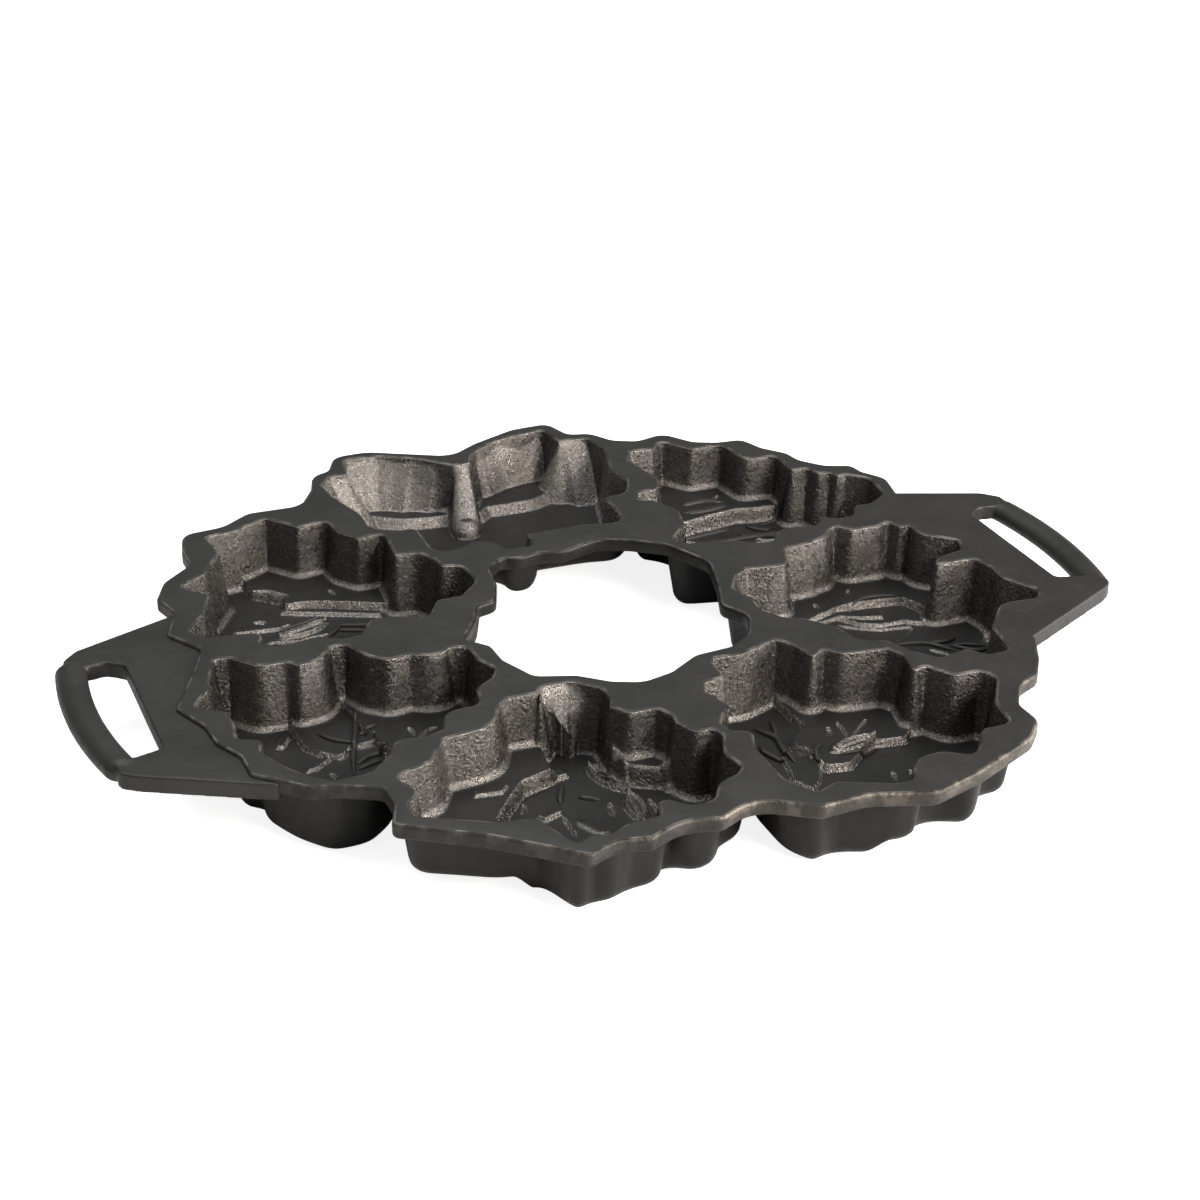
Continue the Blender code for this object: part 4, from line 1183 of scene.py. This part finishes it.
    def _case(self, shell: Shell, upper: np.ndarray, others: Sequence[np.ndarray]) -> None:
        """Adds the outside, from the deck's underside down to the face it stands on.

        Args:
            shell: what the points and faces are added to.
            upper: the numbers of the points along the upper edge of the inside.
            others: the rims of the neighbouring cups.
        """
        slope = math.tan(self.draft)
        wall_end = self.depth + self.floor - self.heel * (1.0 - math.sin(self.draft))
        out = self.wall - self.deck * slope
        wide = moved_rings(self.rim, [-out])[0]
        near = np.min([nearest_distance(self.rim, other) for other in others], 0)
        share = np.minimum(1.0, np.maximum(near / 2.0 - self.case_gap, 0.0) / out)
        top = self.rim + (wide - self.rim) * np.maximum(share, self.lap / out)[:, None]
        rows = [upper]
        rows += [shell.add(ring, -self.deck, 0.0, Skin.CASE) for ring in (self.lap_ring, top)]
        first = self.deck + self.case_row
        depths = [*np.arange(first, wall_end - self.last_case_row, self.case_row), wall_end]
        insets = [depth * slope - self.wall for depth in depths]
        for k in range(1, self.heel_rows + 1):
            turn = self.draft + (math.pi / 2.0 - self.draft) * k / self.heel_rows
            swung = self.heel * (math.cos(self.draft) - math.cos(turn))
            insets.append(wall_end * slope - self.wall + swung)
        outward = [inset for inset in insets if inset < 0.0]
        rings = moved_rings(self.rim, outward[::-1])[::-1]
        rings += moved_rings(self.rim, insets[len(outward):])
        for k, (inset, ring) in enumerate(zip(insets, rings)):
            ring = softened(ring, k * k)
            heights = self.case(ring, np.full(len(ring), inset))
            heights = np.minimum(heights, -self.deck - LEAST_CASE)
            rows.append(shell.add(ring, heights, 0.0, Skin.CASE))
        shell.strip(rows, flip=True)
        self._middle(shell, ring, insets[-1], Skin.CASE)

    def _middle(self, shell: Shell, ring: np.ndarray, least: float, skin: Skin) -> None:
        """Closes the hollow or the case inside the last ring of its wall.

        Args:
            shell: what the points and faces are added to.
            ring: the last ring of the wall.
            least: how far inside the rim that ring lies.
            skin: Skin.HOLLOW or Skin.CASE.
        """
        hollow = skin is Skin.HOLLOW
        guides, grid = (self.guides(), self.grid) if hollow else (NO_POINTS, self.case_grid)
        low, high = ring.min(0), ring.max(0)
        xs = np.arange(low[0], high[0], grid)
        ys = np.arange(low[1], high[1], grid * ROW_SHARE)
        gx, gy = np.meshgrid(xs, ys)
        gx = gx + (np.arange(len(ys)) % 2)[:, None] * grid / 2.0
        loose = np.column_stack([gx.ravel(), gy.ravel()])
        if len(guides):
            loose = loose[nearest_distance(loose, guides) > grid * GUIDE_CLEAR]
            loose = np.vstack([guides, loose])
        loose = loose[inside(loose, ring)]
        loose = loose[nearest_distance(loose, self.rim) > least + grid * WALL_CLEAR]
        places, found = fill([ring], loose)
        inset = np.maximum(nearest_distance(places, self.rim), least)
        heights = (self.hollow if hollow else self.case)(places, inset)
        shell.triangles(shell.add(places, heights, 0.0, skin), found, flip=not hollow)


# ---- ribs

@dataclass
class Veins:
    """The raised twigs and veins on one cup's floor, swept along their paths."""

    cup: Cup
    ribs: list[Rib]
    spacing: float = 0.7
    sides: int = 14
    thinnest: float = 0.05
    merge: float = 1e-7

    def tree(self, iron: bpy.types.Material) -> bpy.types.NodeTree:
        """The nodes that turn paths with a radius at each point into closed round ribs.

        Args:
            iron: the material that the ribs get.

        Returns:
            The node tree, whose inputs are named for what they set.
        """
        tree = bpy.data.node_groups.new("vein_sweep", "GeometryNodeTree")
        for name, way, kind in (
            ("Geometry", "INPUT", "Geometry"), ("Width Scale", "INPUT", "Float"),
            ("Sides", "INPUT", "Int"), ("Geometry", "OUTPUT", "Geometry"),
        ):
            tree.interface.new_socket(name, in_out=way, socket_type="NodeSocket" + kind)
        kinds = (
            "NodeGroupInput", "NodeGroupOutput", "GeometryNodeInputNamedAttribute",
            "ShaderNodeMath", "GeometryNodeMeshToCurve", "GeometryNodeSetCurveRadius",
            "GeometryNodeCurvePrimitiveCircle", "GeometryNodeCurveToMesh",
            "GeometryNodeRealizeInstances", "GeometryNodeSetMaterial",
        )
        nodes = [tree.nodes.new(kind) for kind in kinds]
        given, result, half, scaled, path, radius, section, sweep, real, dress = nodes
        half.data_type, scaled.operation = "FLOAT", "MULTIPLY"
        half.inputs["Name"].default_value = "half_width"
        section.inputs["Radius"].default_value = 1.0
        sweep.inputs["Fill Caps"].default_value = True
        dress.inputs["Material"].default_value = iron
        wires = [
            (given, "Geometry", path, "Mesh"), (path, "Curve", radius, "Curve"),
            (half, "Attribute", scaled, 0), (given, "Width Scale", scaled, 1),
            (scaled, 0, radius, "Radius"), (given, "Sides", section, "Resolution"),
            (radius, "Curve", sweep, "Curve"), (section, "Curve", sweep, "Profile Curve"),
            (sweep, "Mesh", real, "Geometry"), (real, "Geometry", dress, "Geometry"),
            (dress, "Geometry", result, "Geometry"),
        ]
        if "Scale" in sweep.inputs:
            wires.append((scaled, 0, sweep, "Scale"))
        for source, out, target, into in wires:
            tree.links.new(source.outputs[out], target.inputs[into])
        return tree

    def build(self, iron: bpy.types.Material) -> bpy.types.Object:
        """Makes all the ribs of the cup as one piece of closed forms sunk into its floor.

        Args:
            iron: the material that the ribs get.

        Returns:
            The new object.
        """
        points: list[list[float]] = []
        halves: list[float] = []
        edges: list[tuple[int, int]] = []
        for rib in self.ribs:
            line = curved(rib.path, self.spacing)
            share = np.linspace(0.0, 1.0, len(line))
            ends = np.minimum(share, 1.0 - share) / rib.taper
            thin = np.sqrt(np.clip(ends, self.thinnest, 1.0))
            half = rib.width / 2.0 * thin
            top = self.cup.hollow(line, nearest_distance(line, self.cup.rim)) + rib.height * thin
            edges += [(len(points) + i, len(points) + i + 1) for i in range(len(line) - 1)]
            points += in_frame(np.column_stack([line, top - half])).tolist()
            halves += (half * MM).tolist()
        name = self.cup.name + "_veins"
        mesh = bpy.data.meshes.new(name + "_paths")
        mesh.from_pydata(points, edges, [])
        radii = mesh.attributes.new("half_width", "FLOAT", "POINT")
        radii.data.foreach_set("value", np.array(halves, np.float32))
        obj = placed(name, mesh)
        modifier = obj.modifiers.new("vein_sweep", "NODES")
        modifier.node_group = self.tree(iron)
        settings = {"Width Scale": 1.0, "Sides": self.sides}
        for item in modifier.node_group.interface.items_tree:
            if item.in_out == "INPUT" and item.name in settings:
                modifier[item.identifier] = settings[item.name]
        settle(obj)
        clean(obj.data, self.merge)
        return obj


# ---- deck

@dataclass
class Deck:
    """The flat ring that carries the cups: soft edges, scalloped outside and centre hole."""

    thickness: float = 5.5
    edge: float = 1.3
    edge_rows: int = 5
    # How worn each row of the rounded edges is; the worn colour there is partly real wear and
    # partly a painted highlight.
    outer_wear_and_highlight: tuple[float, ...] = (0.0, 0.7, 0.9, 0.7, 0.5, 0.3)
    hole_wear_and_highlight: tuple[float, ...] = (0.0, 0.5, 0.3, 0.0, 0.0, 0.0)
    side_wear_and_highlight: float = 0.2

    def build(self, cups: Sequence[Cup]) -> bpy.types.Object:
        """Makes the deck as one closed plate with an opening for each cup.

        Args:
            cups: the cups that it carries.

        Returns:
            The new object.
        """
        shell = Shell()
        outer = self._edge(shell, rounded(WREATH_EDGE), True)
        inner = self._edge(shell, rounded(CENTRE_HOLE), False)
        laps = [cup.lap_ring for cup in cups]
        places, found = fill([outer, inner, *laps], NO_POINTS)
        shell.triangles(shell.add(places, 0.0), found)
        shell.triangles(shell.add(places, -self.thickness), found, flip=True)
        for ring in map(distinct, laps):
            shell.strip([shell.add(ring, 0.0), shell.add(ring, -self.thickness)])
        return shell.make("wreath_deck_casting")

    def _edge(self, shell: Shell, ring: np.ndarray, outside: bool) -> np.ndarray:
        """Adds a side face with rounded edges.

        Args:
            shell: what the points and faces are added to.
            ring: the line that the side face follows.
            outside: whether it is the deck's outer side, and not the centre hole's.

        Returns:
            The ring where the flat of the deck starts.
        """
        turns = [math.pi / 2.0 * k / self.edge_rows for k in range(self.edge_rows + 1)]
        insets = [self.edge * (1.0 - math.sin(turn)) * (1 if outside else -1) for turn in turns]
        heights = [-self.edge * (1.0 - math.cos(turn)) for turn in turns]
        rings = moved_rings(ring, insets[::-1])[::-1]
        face = Skin.SIDE if outside else Skin.CASE
        wear_and_highlight = self.outer_wear_and_highlight if outside else self.hole_wear_and_highlight
        rows = [
            shell.add(rings[k], heights[k], wear_and_highlight[k], face if k > 1 else Skin.DECK)
            for k in range(len(rings))
        ]
        rows += [
            shell.add(rings[k], -self.thickness - heights[k], self.side_wear_and_highlight * outside, face)
            for k in reversed(range(len(rings)))
        ]
        shell.strip(rows, flip=outside)
        return rings[0]


# ---- finishes

class Bench:
    """Lays shader nodes for a material or a world, fed by other nodes or by plain values."""

    def __init__(self, owner: bpy.types.Material | bpy.types.World) -> None:
        """Switches the owner's nodes on."""
        owner.use_nodes = True
        self.nodes, self.links = owner.node_tree.nodes, owner.node_tree.links

    def feed(self, node: bpy.types.Node, **values: object) -> None:
        """Sets inputs of a node, or links them where the value is another node's socket.

        Args:
            node: the node to feed.
            values: one value for each input, under its name with _ for each space.
        """
        for name, value in values.items():
            socket = node.inputs[name.replace("_", " ")]
            if isinstance(value, bpy.types.NodeSocket):
                self.links.new(value, socket)
            else:
                socket.default_value = value

    def source(self, kind: str, output: str) -> bpy.types.NodeSocket:
        """The named output of a new node of this kind."""
        return self.nodes.new(kind).outputs[output]

    def share(self, attribute: str) -> bpy.types.NodeSocket:
        """The value of one of the mesh's own attributes.

        Args:
            attribute: its name.

        Returns:
            The socket that gives the value.
        """
        node = self.nodes.new("ShaderNodeAttribute")
        node.attribute_name = attribute
        return node.outputs["Fac"]

    def part(self, vector: bpy.types.NodeSocket, axis: str) -> bpy.types.NodeSocket:
        """One component of a vector.

        Args:
            vector: the socket that gives the vector.
            axis: X, Y or Z.

        Returns:
            The socket that gives the component.
        """
        node = self.nodes.new("ShaderNodeSeparateXYZ")
        self.feed(node, Vector=vector)
        return node.outputs[axis]

    def noise(
        self, place: bpy.types.NodeSocket, scale: float, detail: float,
        roughness: float = 0.5, twist: float = 0.0,
    ) -> bpy.types.NodeSocket:
        """A cloudy noise.

        Args:
            place: the socket that gives the coordinates.
            scale: how many clouds there are in a metre.
            detail: how many finer layers it has.
            roughness: how strong the finer layers are.
            twist: how far it is distorted.

        Returns:
            The socket that gives the noise.
        """
        node = self.nodes.new("ShaderNodeTexNoise")
        self.feed(
            node, Vector=place, Scale=scale, Detail=detail, Roughness=roughness, Distortion=twist
        )
        return node.outputs["Fac"]

    def ramp(
        self, value: bpy.types.NodeSocket, low: float = 0.0, high: float = 1.0,
        to: Pair = (0.0, 1.0),
    ) -> bpy.types.NodeSocket:
        """A soft step.

        Args:
            value: the socket that gives the value.
            low: where the step starts.
            high: where it ends.
            to: what it gives at its start and at its end.

        Returns:
            The socket that gives the result.
        """
        node = self.nodes.new("ShaderNodeMapRange")
        node.interpolation_type = "SMOOTHSTEP"
        self.feed(node, Value=value, From_Min=low, From_Max=high, To_Min=to[0], To_Max=to[1])
        return node.outputs["Result"]

    def maths(self, operation: str, *values: object) -> bpy.types.NodeSocket:
        """Works out several values with the same operation, from the left.

        Args:
            operation: Blender's name for it.
            values: sockets or numbers.

        Returns:
            The socket that gives the result.
        """
        result = values[0]
        for value in values[1:]:
            node = self.nodes.new("ShaderNodeMath")
            node.operation = operation
            for socket, given in zip(node.inputs, (result, value)):
                if isinstance(given, bpy.types.NodeSocket):
                    self.links.new(given, socket)
                else:
                    socket.default_value = given
            result = node.outputs[0]
        return result

    def blend(self, share: bpy.types.NodeSocket, a: object, b: object) -> bpy.types.NodeSocket:
        """Mixes two colours.

        Args:
            share: the socket that gives the second colour's share.
            a: the first colour, or the socket that gives it.
            b: the second one.

        Returns:
            The socket that gives the mixed colour.
        """
        node = self.nodes.new("ShaderNodeMix")
        node.data_type = "RGBA"
        self.links.new(share, node.inputs[0])
        for socket, value in ((node.inputs[6], a), (node.inputs[7], b)):
            if isinstance(value, bpy.types.NodeSocket):
                self.links.new(value, socket)
            else:
                socket.default_value = (*value, 1.0)
        return node.outputs[2]


# Its colour holds painted shade in the wall pits, painted light on leaning walls, and a worn colour
# that is partly a painted highlight.
@dataclass(frozen=True)
class SeasonedIron:
    """Seasoned cast iron: satin where it lies flat, pebbly and glossy on the walls inside."""

    name: str = "seasoned_cast_iron"
    flat_colour: Colour = (0.045, 0.0445, 0.043)
    floor_colour: Colour = (0.033, 0.0325, 0.032)
    wall_colour: Colour = (0.148, 0.136, 0.126)
    case_colour: Colour = (0.026, 0.0255, 0.025)
    side_colour: Colour = (0.058, 0.052, 0.046)
    side_colour_left: Colour = (0.036, 0.034, 0.032)
    side_turn: Pair = (-0.024, -0.016)
    side_texture: float = 0.55
    # How much worn colour, partly real wear and partly a painted highlight, the side keeps left of
    # the front corner; its colour, and the noise and patches that spread it.
    left_wear_and_highlight: float = 0.35
    worn_and_highlight_colour: Colour = (0.260, 0.225, 0.190)
    worn_and_highlight_noise: Pair = (160.0, 3.0)
    worn_and_highlight_patches: Pair = (0.42, 0.66)
    wall_lean: Pair = (0.955, 0.86)
    # Painted light: walls that lean back further get a lighter colour, over this range of lean and
    # by these factors.
    painted_light_lean: Pair = (0.17, 0.29)
    leaning_wall_painted_light: Pair = (0.92, 1.65)
    cloud: tuple[float, float, float] = (45.0, 4.0, 0.6)
    # Painted shade in the pits of the pebbly walls: where in the grain the colour darkens, and how
    # dark it gets.
    cloud_light: Pair = (0.84, 1.14)
    pit_shade_range: Pair = (0.58, 0.36)
    pit_painted_shade: float = 0.70
    flat_roughness: float = 0.50
    wall_roughness: float = 0.27
    case_roughness: float = 0.46
    varied_noise: Pair = (300.0, 2.0)
    varied_roughness: Pair = (-0.05, 0.06)
    metallic: Pair = (0.72, 0.95)
    pebble: float = 0.0010
    pebble_noise: tuple[float, float, float] = (3.5, 0.62, 0.4)
    pebble_height: float = 0.00065
    pebble_share: Pair = (0.05, 1.0)
    fine_noise: Pair = (3000.0, 2.0)
    fine_share: Pair = (0.03, 0.25)

    def make(self) -> bpy.types.Material:
        """Builds the material's nodes on the piece's own coordinates.

        Returns:
            The new material.
        """
        material = bpy.data.materials.new(self.name)
        bench = Bench(material)
        place = bench.source("ShaderNodeTexCoord", "Object")
        up = bench.part(bench.source("ShaderNodeNewGeometry", "True Normal"), "Z")
        hollow, case, side = (bench.share(s.value) for s in (Skin.HOLLOW, Skin.CASE, Skin.SIDE))
        wall = bench.maths("MULTIPLY", bench.ramp(up, *self.wall_lean), hollow)
        right = bench.ramp(bench.part(place, "X"), *self.side_turn)
        grain = bench.noise(place, 1.0 / self.pebble, *self.pebble_noise)
        fine = bench.noise(place, *self.fine_noise)

        colour = bench.blend(hollow, self.flat_colour, self.floor_colour)
        colour = bench.blend(wall, colour, self.wall_colour)
        beside = bench.blend(right, self.side_colour_left, self.side_colour)
        colour = bench.blend(side, colour, beside)
        colour = bench.blend(case, colour, self.case_colour)
        mottle = bench.ramp(bench.noise(place, *self.cloud), *MIDDLE, self.cloud_light)
        # Painted shade: the walls' colour darkens in the low pits of the pebble grain.
        pit_shade_mask = bench.maths("MULTIPLY", bench.ramp(grain, *self.pit_shade_range), wall)
        # Painted light: the walls' colour lightens where they lean back further.
        leaning_wall_light_mask = bench.maths("MULTIPLY", bench.ramp(up, *self.painted_light_lean), wall)
        # Random tone, times the painted shade in the pits and the painted light on leaning walls.
        tone_and_painted_light = bench.nodes.new("ShaderNodeVectorMath")
        tone_and_painted_light.operation = "SCALE"
        bench.feed(tone_and_painted_light, Scale=bench.maths(
            "MULTIPLY", mottle, bench.ramp(pit_shade_mask, to=(1.0, self.pit_painted_shade)),
            bench.ramp(leaning_wall_light_mask, to=self.leaning_wall_painted_light),
        ))
        bench.links.new(colour, tone_and_painted_light.inputs[0])
        # Worn colour on edges and lips, partly real wear and partly a painted highlight, thinner on
        # the deck's side left of the front corner.
        wear_and_highlight_patch_mask = bench.ramp(bench.noise(place, *self.worn_and_highlight_noise), *self.worn_and_highlight_patches)
        left_side = bench.maths("MULTIPLY", side, bench.ramp(right, to=(1.0, 0.0)))
        kept = bench.ramp(left_side, to=(1.0, self.left_wear_and_highlight))
        scuff_and_highlight = bench.maths("MULTIPLY", bench.share("wear_and_highlight"), kept, wear_and_highlight_patch_mask)

        rough = bench.ramp(wall, to=(self.flat_roughness, self.wall_roughness))
        shine = bench.maths("MULTIPLY", case, self.flat_roughness - self.case_roughness)
        rough = bench.maths("SUBTRACT", rough, shine)
        vary = bench.ramp(bench.noise(place, *self.varied_noise), *MIDDLE, self.varied_roughness)

        rough_cast = bench.maths("MAXIMUM", wall, bench.maths("MULTIPLY", side, self.side_texture))
        pebbles = bench.maths("MULTIPLY", grain, bench.ramp(rough_cast, to=self.pebble_share))
        finer = bench.maths("MULTIPLY", fine, bench.ramp(rough_cast, to=self.fine_share))
        bump = bench.nodes.new("ShaderNodeBump")
        height = bench.maths("ADD", pebbles, finer)
        bench.feed(bump, Strength=1.0, Distance=self.pebble_height, Height=height)
        bench.feed(
            bench.nodes["Principled BSDF"],
            Base_Color=bench.blend(scuff_and_highlight, tone_and_painted_light.outputs[0], self.worn_and_highlight_colour),
            Roughness=bench.maths("ADD", rough, vary),
            Metallic=bench.ramp(wall, to=self.metallic),
            Specular_IOR_Level=0.5,
            Normal=bump.outputs["Normal"],
        )
        return material


def finish_piece(obj: bpy.types.Object, iron: bpy.types.Material, *nodes: str) -> None:
    """Gives a piece its iron and its body, and reports it.

    Args:
        obj: the piece.
        iron: its material.
        nodes: the CAD nodes that it stands for.
    """
    obj.data.materials.clear()
    obj.data.materials.append(iron)
    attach(obj, "root")
    if nodes:
        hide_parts(*nodes)
    LOG.info("%s: %d points, %d faces", obj.name, len(obj.data.vertices), len(obj.data.polygons))


# ---- handles

@dataclass
class Handle:
    """A loop handle: a flat tab round the finger opening, and the bar that closes it."""

    name: str
    side: float
    far_root: tuple[float, float]
    near_root: tuple[float, float]
    opening_x: float = 171.8
    finger_room: float = 14.6
    finger_length: float = 67.0
    finger_middle: float = -9.5
    far_web: float = 13.5
    near_web: float = 15.0
    thickness: float = 6.2
    drop: float = 1.2
    bar_drop: float = 1.2
    grip_width: float = 11.6
    grip_thickness: float = 8.5
    grip_sides: int = 24
    grip_rows: int = 28
    grip_end: float = 0.62
    grip_reach: Pair = (0.45, 0.5)
    bow: float = 12.5
    bow_shift: float = 0.1
    under: float = 1.0
    trim_heights: tuple[float, float] = (5.0, -12.0)
    voxel: float = 0.0006
    smoothing: int = 6

    def grip_x(self, y: float) -> float:
        """How far out the middle of the bar is.

        Args:
            y: the place along the bar.

        Returns:
            Its x, as on the right handle.
        """
        middle = self.finger_middle + self.finger_length * self.bow_shift
        off = (y - middle) / self.finger_length
        return self.opening_x + self.finger_room + self.grip_width / 2.0 - self.bow * off * off

    def outline(self) -> Knots:
        """The tab's outline, without the bar.

        Returns:
            Corner points with radii, clockwise from above.
        """
        far = self.finger_middle + self.finger_length / 2.0
        near = self.finger_middle - self.finger_length / 2.0
        far_end, near_end, inner = self.grip_x(far), self.grip_x(near), self.opening_x
        corners = [
            (*self.far_root, 3), (far_end - 4.0, far + self.far_web, 4),
            (far_end + 2.0, far + self.far_web * 0.5, 4), (far_end, far - 1.0, 2),
            (inner + 6.0, far + 1.0, 4), (inner, far - 4.0, 3), (inner, near, 3),
            (near_end, near - 4.0, 2), (near_end + 2.0, near - self.near_web * 0.7, 4),
            (near_end - 3.5, near - self.near_web, 5), (*self.near_root, 3),
        ]
        knots = [(self.side * x, y, r) for x, y, r in corners]
        return knots if self.side > 0.0 else knots[::-1]

    def build(self) -> bpy.types.Object:
        """Makes the handle as one closed piece, its tab run in under the deck's edge.

        Returns:
            The new object.
        """
        tab, trim = Shell(), Shell()
        tab.plate(rounded(self.outline(), *COARSE), -self.drop, -self.drop - self.thickness)
        handle = tab.make(self.name + "_casting")
        bar = self._bar()
        deck = moved_rings(rounded(WREATH_EDGE, *COARSE), [self.under])[0]
        trim.plate(distinct(deck), *self.trim_heights)
        self._join(handle, bar, trim.make(self.name + "_trim"))
        return handle

    def _bar(self) -> bpy.types.Object:
        """Makes the bar as a closed tube of oval section.

        Returns:
            The new object.
        """
        half = self.finger_length / 2.0
        far = self.finger_middle + half + self.far_web * self.grip_reach[0]
        near = self.finger_middle - half - self.near_web * self.grip_reach[1]
        turn = np.linspace(0.0, 2.0 * math.pi, self.grip_sides, endpoint=False)
        shell = Shell()
        rows = []
        for y in np.linspace(far, near, self.grip_rows):
            end = self.grip_end if y in (far, near) else 1.0
            x = self.grip_x(y) + np.cos(turn) * self.grip_width / 2.0 * end
            z = np.sin(turn) * self.grip_thickness / 2.0 * end
            z = -self.bar_drop - self.thickness / 2.0 + z
            rows.append(shell.add(np.column_stack([self.side * x, np.full(len(turn), y)]), z))
        shell.strip(rows)
        shell.faces += [tuple(rows[0]), tuple(rows[-1][::-1])]
        return shell.make(self.name + "_bar")

    def _join(self, tab: bpy.types.Object, bar: bpy.types.Object, trim: bpy.types.Object) -> None:
        """Joins the bar to the trimmed tab and softens the joint the way poured iron is.

        Args:
            tab: the tab, which becomes the handle.
            bar: the bar, which is used up.
            trim: the block in the deck's outline that the tab stops against, used up too.
        """
        for name, operation, tool in (("trim", "DIFFERENCE", trim), ("bar", "UNION", bar)):
            joint = tab.modifiers.new(name, "BOOLEAN")
            joint.operation, joint.solver, joint.object = operation, "EXACT", tool
        skin = tab.modifiers.new("skin", "REMESH")
        skin.mode, skin.voxel_size = "VOXEL", self.voxel * 1.0
        soft = tab.modifiers.new("soft", "SMOOTH")
        soft.factor, soft.iterations = 0.5, self.smoothing
        settle(tab)
        tab.data.shade_smooth()
        for helper in (bar, trim):
            bpy.data.objects.remove(helper)


# ---- studio

@dataclass(frozen=True)
class Lamp:
    """One soft rectangular lamp that looks at the middle of the pan."""

    name: str
    place: tuple[float, float, float]
    size: Pair
    power: float
    colour: Colour

    def hang(self) -> None:
        """Puts the lamp in the scene."""
        data = bpy.data.lights.new(self.name, "AREA")
        data.shape, data.energy, data.color = "RECTANGLE", self.power, self.colour
        data.size, data.size_y = self.size
        turn = (-Vector(self.place)).to_track_quat("-Z", "Y").to_matrix().to_4x4()
        placed(self.name, data).matrix_world = Matrix.Translation(self.place) @ turn


@dataclass(frozen=True)
class Studio:
    """The white floor, the soft lights and the camera."""

    lens: float = 69.0
    sensor: float = 36.0
    elevation: float = math.radians(26.24)
    azimuth: float = math.radians(21.97)
    distance: float = 855.284
    shift: Pair = (-1.59144, -1.73802)
    floor_half: float = 6.0
    floor_height: float = -0.0004
    floor_colour: tuple[float, ...] = (0.86, 0.86, 0.86, 1.0)
    floor_glow: float = 0.85
    room_light: float = 0.28
    lamps: tuple[Lamp, ...] = (
        Lamp("key_front_right", (0.55, -1.15, 0.85), (0.6, 0.5), 24.0, (1.0, 0.95, 0.89)),
        Lamp("low_right", (1.10, -0.68, 0.30), (0.6, 0.4), 23.0, (1.0, 0.96, 0.91)),
        Lamp("top_soft", (-0.1, 0.35, 1.3), (1.4, 1.0), 13.0, (0.97, 0.985, 1.0)),
    )

    def camera(self) -> None:
        """Places the camera where the photograph was taken from."""
        e, a = self.elevation, self.azimuth
        right = Vector((math.cos(a), -math.sin(a), 0.0))
        up = Vector((math.sin(a) * math.sin(e), math.cos(a) * math.sin(e), math.cos(e)))
        ahead = Vector((math.sin(a) * math.cos(e), math.cos(a) * math.cos(e), -math.sin(e)))
        spot = -self.shift[0] * right - self.shift[1] * up - self.distance * ahead
        spot = (spot + Vector((0.0, -DRAWING_MIDDLE_Y, PAN_HEIGHT))) * MM
        data = bpy.data.cameras.new("camera")
        data.lens, data.sensor_width = self.lens, self.sensor
        data.clip_start, data.clip_end = 0.01, 20.0
        obj = placed("camera", data)
        turn = Matrix((right, up, -ahead)).transposed().to_4x4()
        obj.matrix_world = Matrix.Translation(spot) @ turn
        bpy.context.scene.camera = obj

    def floor(self) -> None:
        """Lays the white floor."""
        s, z = self.floor_half, self.floor_height
        mesh = bpy.data.meshes.new("studio_floor")
        mesh.from_pydata([(-s, -s, z), (s, -s, z), (s, s, z), (-s, s, z)], [], [(0, 1, 2, 3)])
        material = bpy.data.materials.new("white_floor")
        bench = Bench(material)
        seen = bench.source("ShaderNodeLightPath", "Is Camera Ray")
        bench.feed(
            bench.nodes["Principled BSDF"], Base_Color=self.floor_colour, Roughness=0.9,
            Specular_IOR_Level=0.1, Emission_Color=WHITE,
            Emission_Strength=bench.maths("MULTIPLY", seen, self.floor_glow),
        )
        mesh.materials.append(material)
        placed("studio_floor", mesh)

    def world(self) -> None:
        """Sets the even white light of the room."""
        world = bpy.data.worlds.new("studio")
        bpy.context.scene.world = world
        bench = Bench(world)
        seen = bench.source("ShaderNodeLightPath", "Is Camera Ray")
        level = bench.ramp(seen, to=(self.room_light, 1.0))
        bench.feed(bench.nodes["Background"], Color=WHITE, Strength=level)

    def build(self) -> None:
        """Sets the whole studio up."""
        self.camera()
        self.floor()
        self.world()
        for lamp in self.lamps:
            lamp.hang()
        bpy.context.scene.view_settings.view_transform = "Standard"


# ---- the whole pan

def main() -> None:
    """Builds the pan piece by piece and sets the studio round it."""
    logging.basicConfig(level=logging.INFO, format="%(name)s: %(message)s")
    iron = SeasonedIron().make()
    cups = [
        Cup(name, knots, STEPS[name], RELIEF[name], LEANS.get(name, []))
        for name, knots in CUP_RIMS.items()
    ]
    for cup in cups:
        others = [other.rim for other in cups if other is not cup]
        finish_piece(cup.build(others), iron, cup.name)
        if cup.name in RIBS:
            finish_piece(Veins(cup, RIBS[cup.name]).build(iron), iron)
    finish_piece(Deck().build(cups), iron, "wreath_deck")
    handles = [
        Handle("handle_left", -1.0, (140.0, 56.0), (140.0, -82.2)),
        Handle("handle_right", 1.0, (140.0, 56.0), (130.0, -86.6), drop=0.03, under=2.6),
    ]
    for handle in handles:
        finish_piece(handle.build(), iron, handle.name)
    Studio().build()


if __name__ == "__main__":
    main()
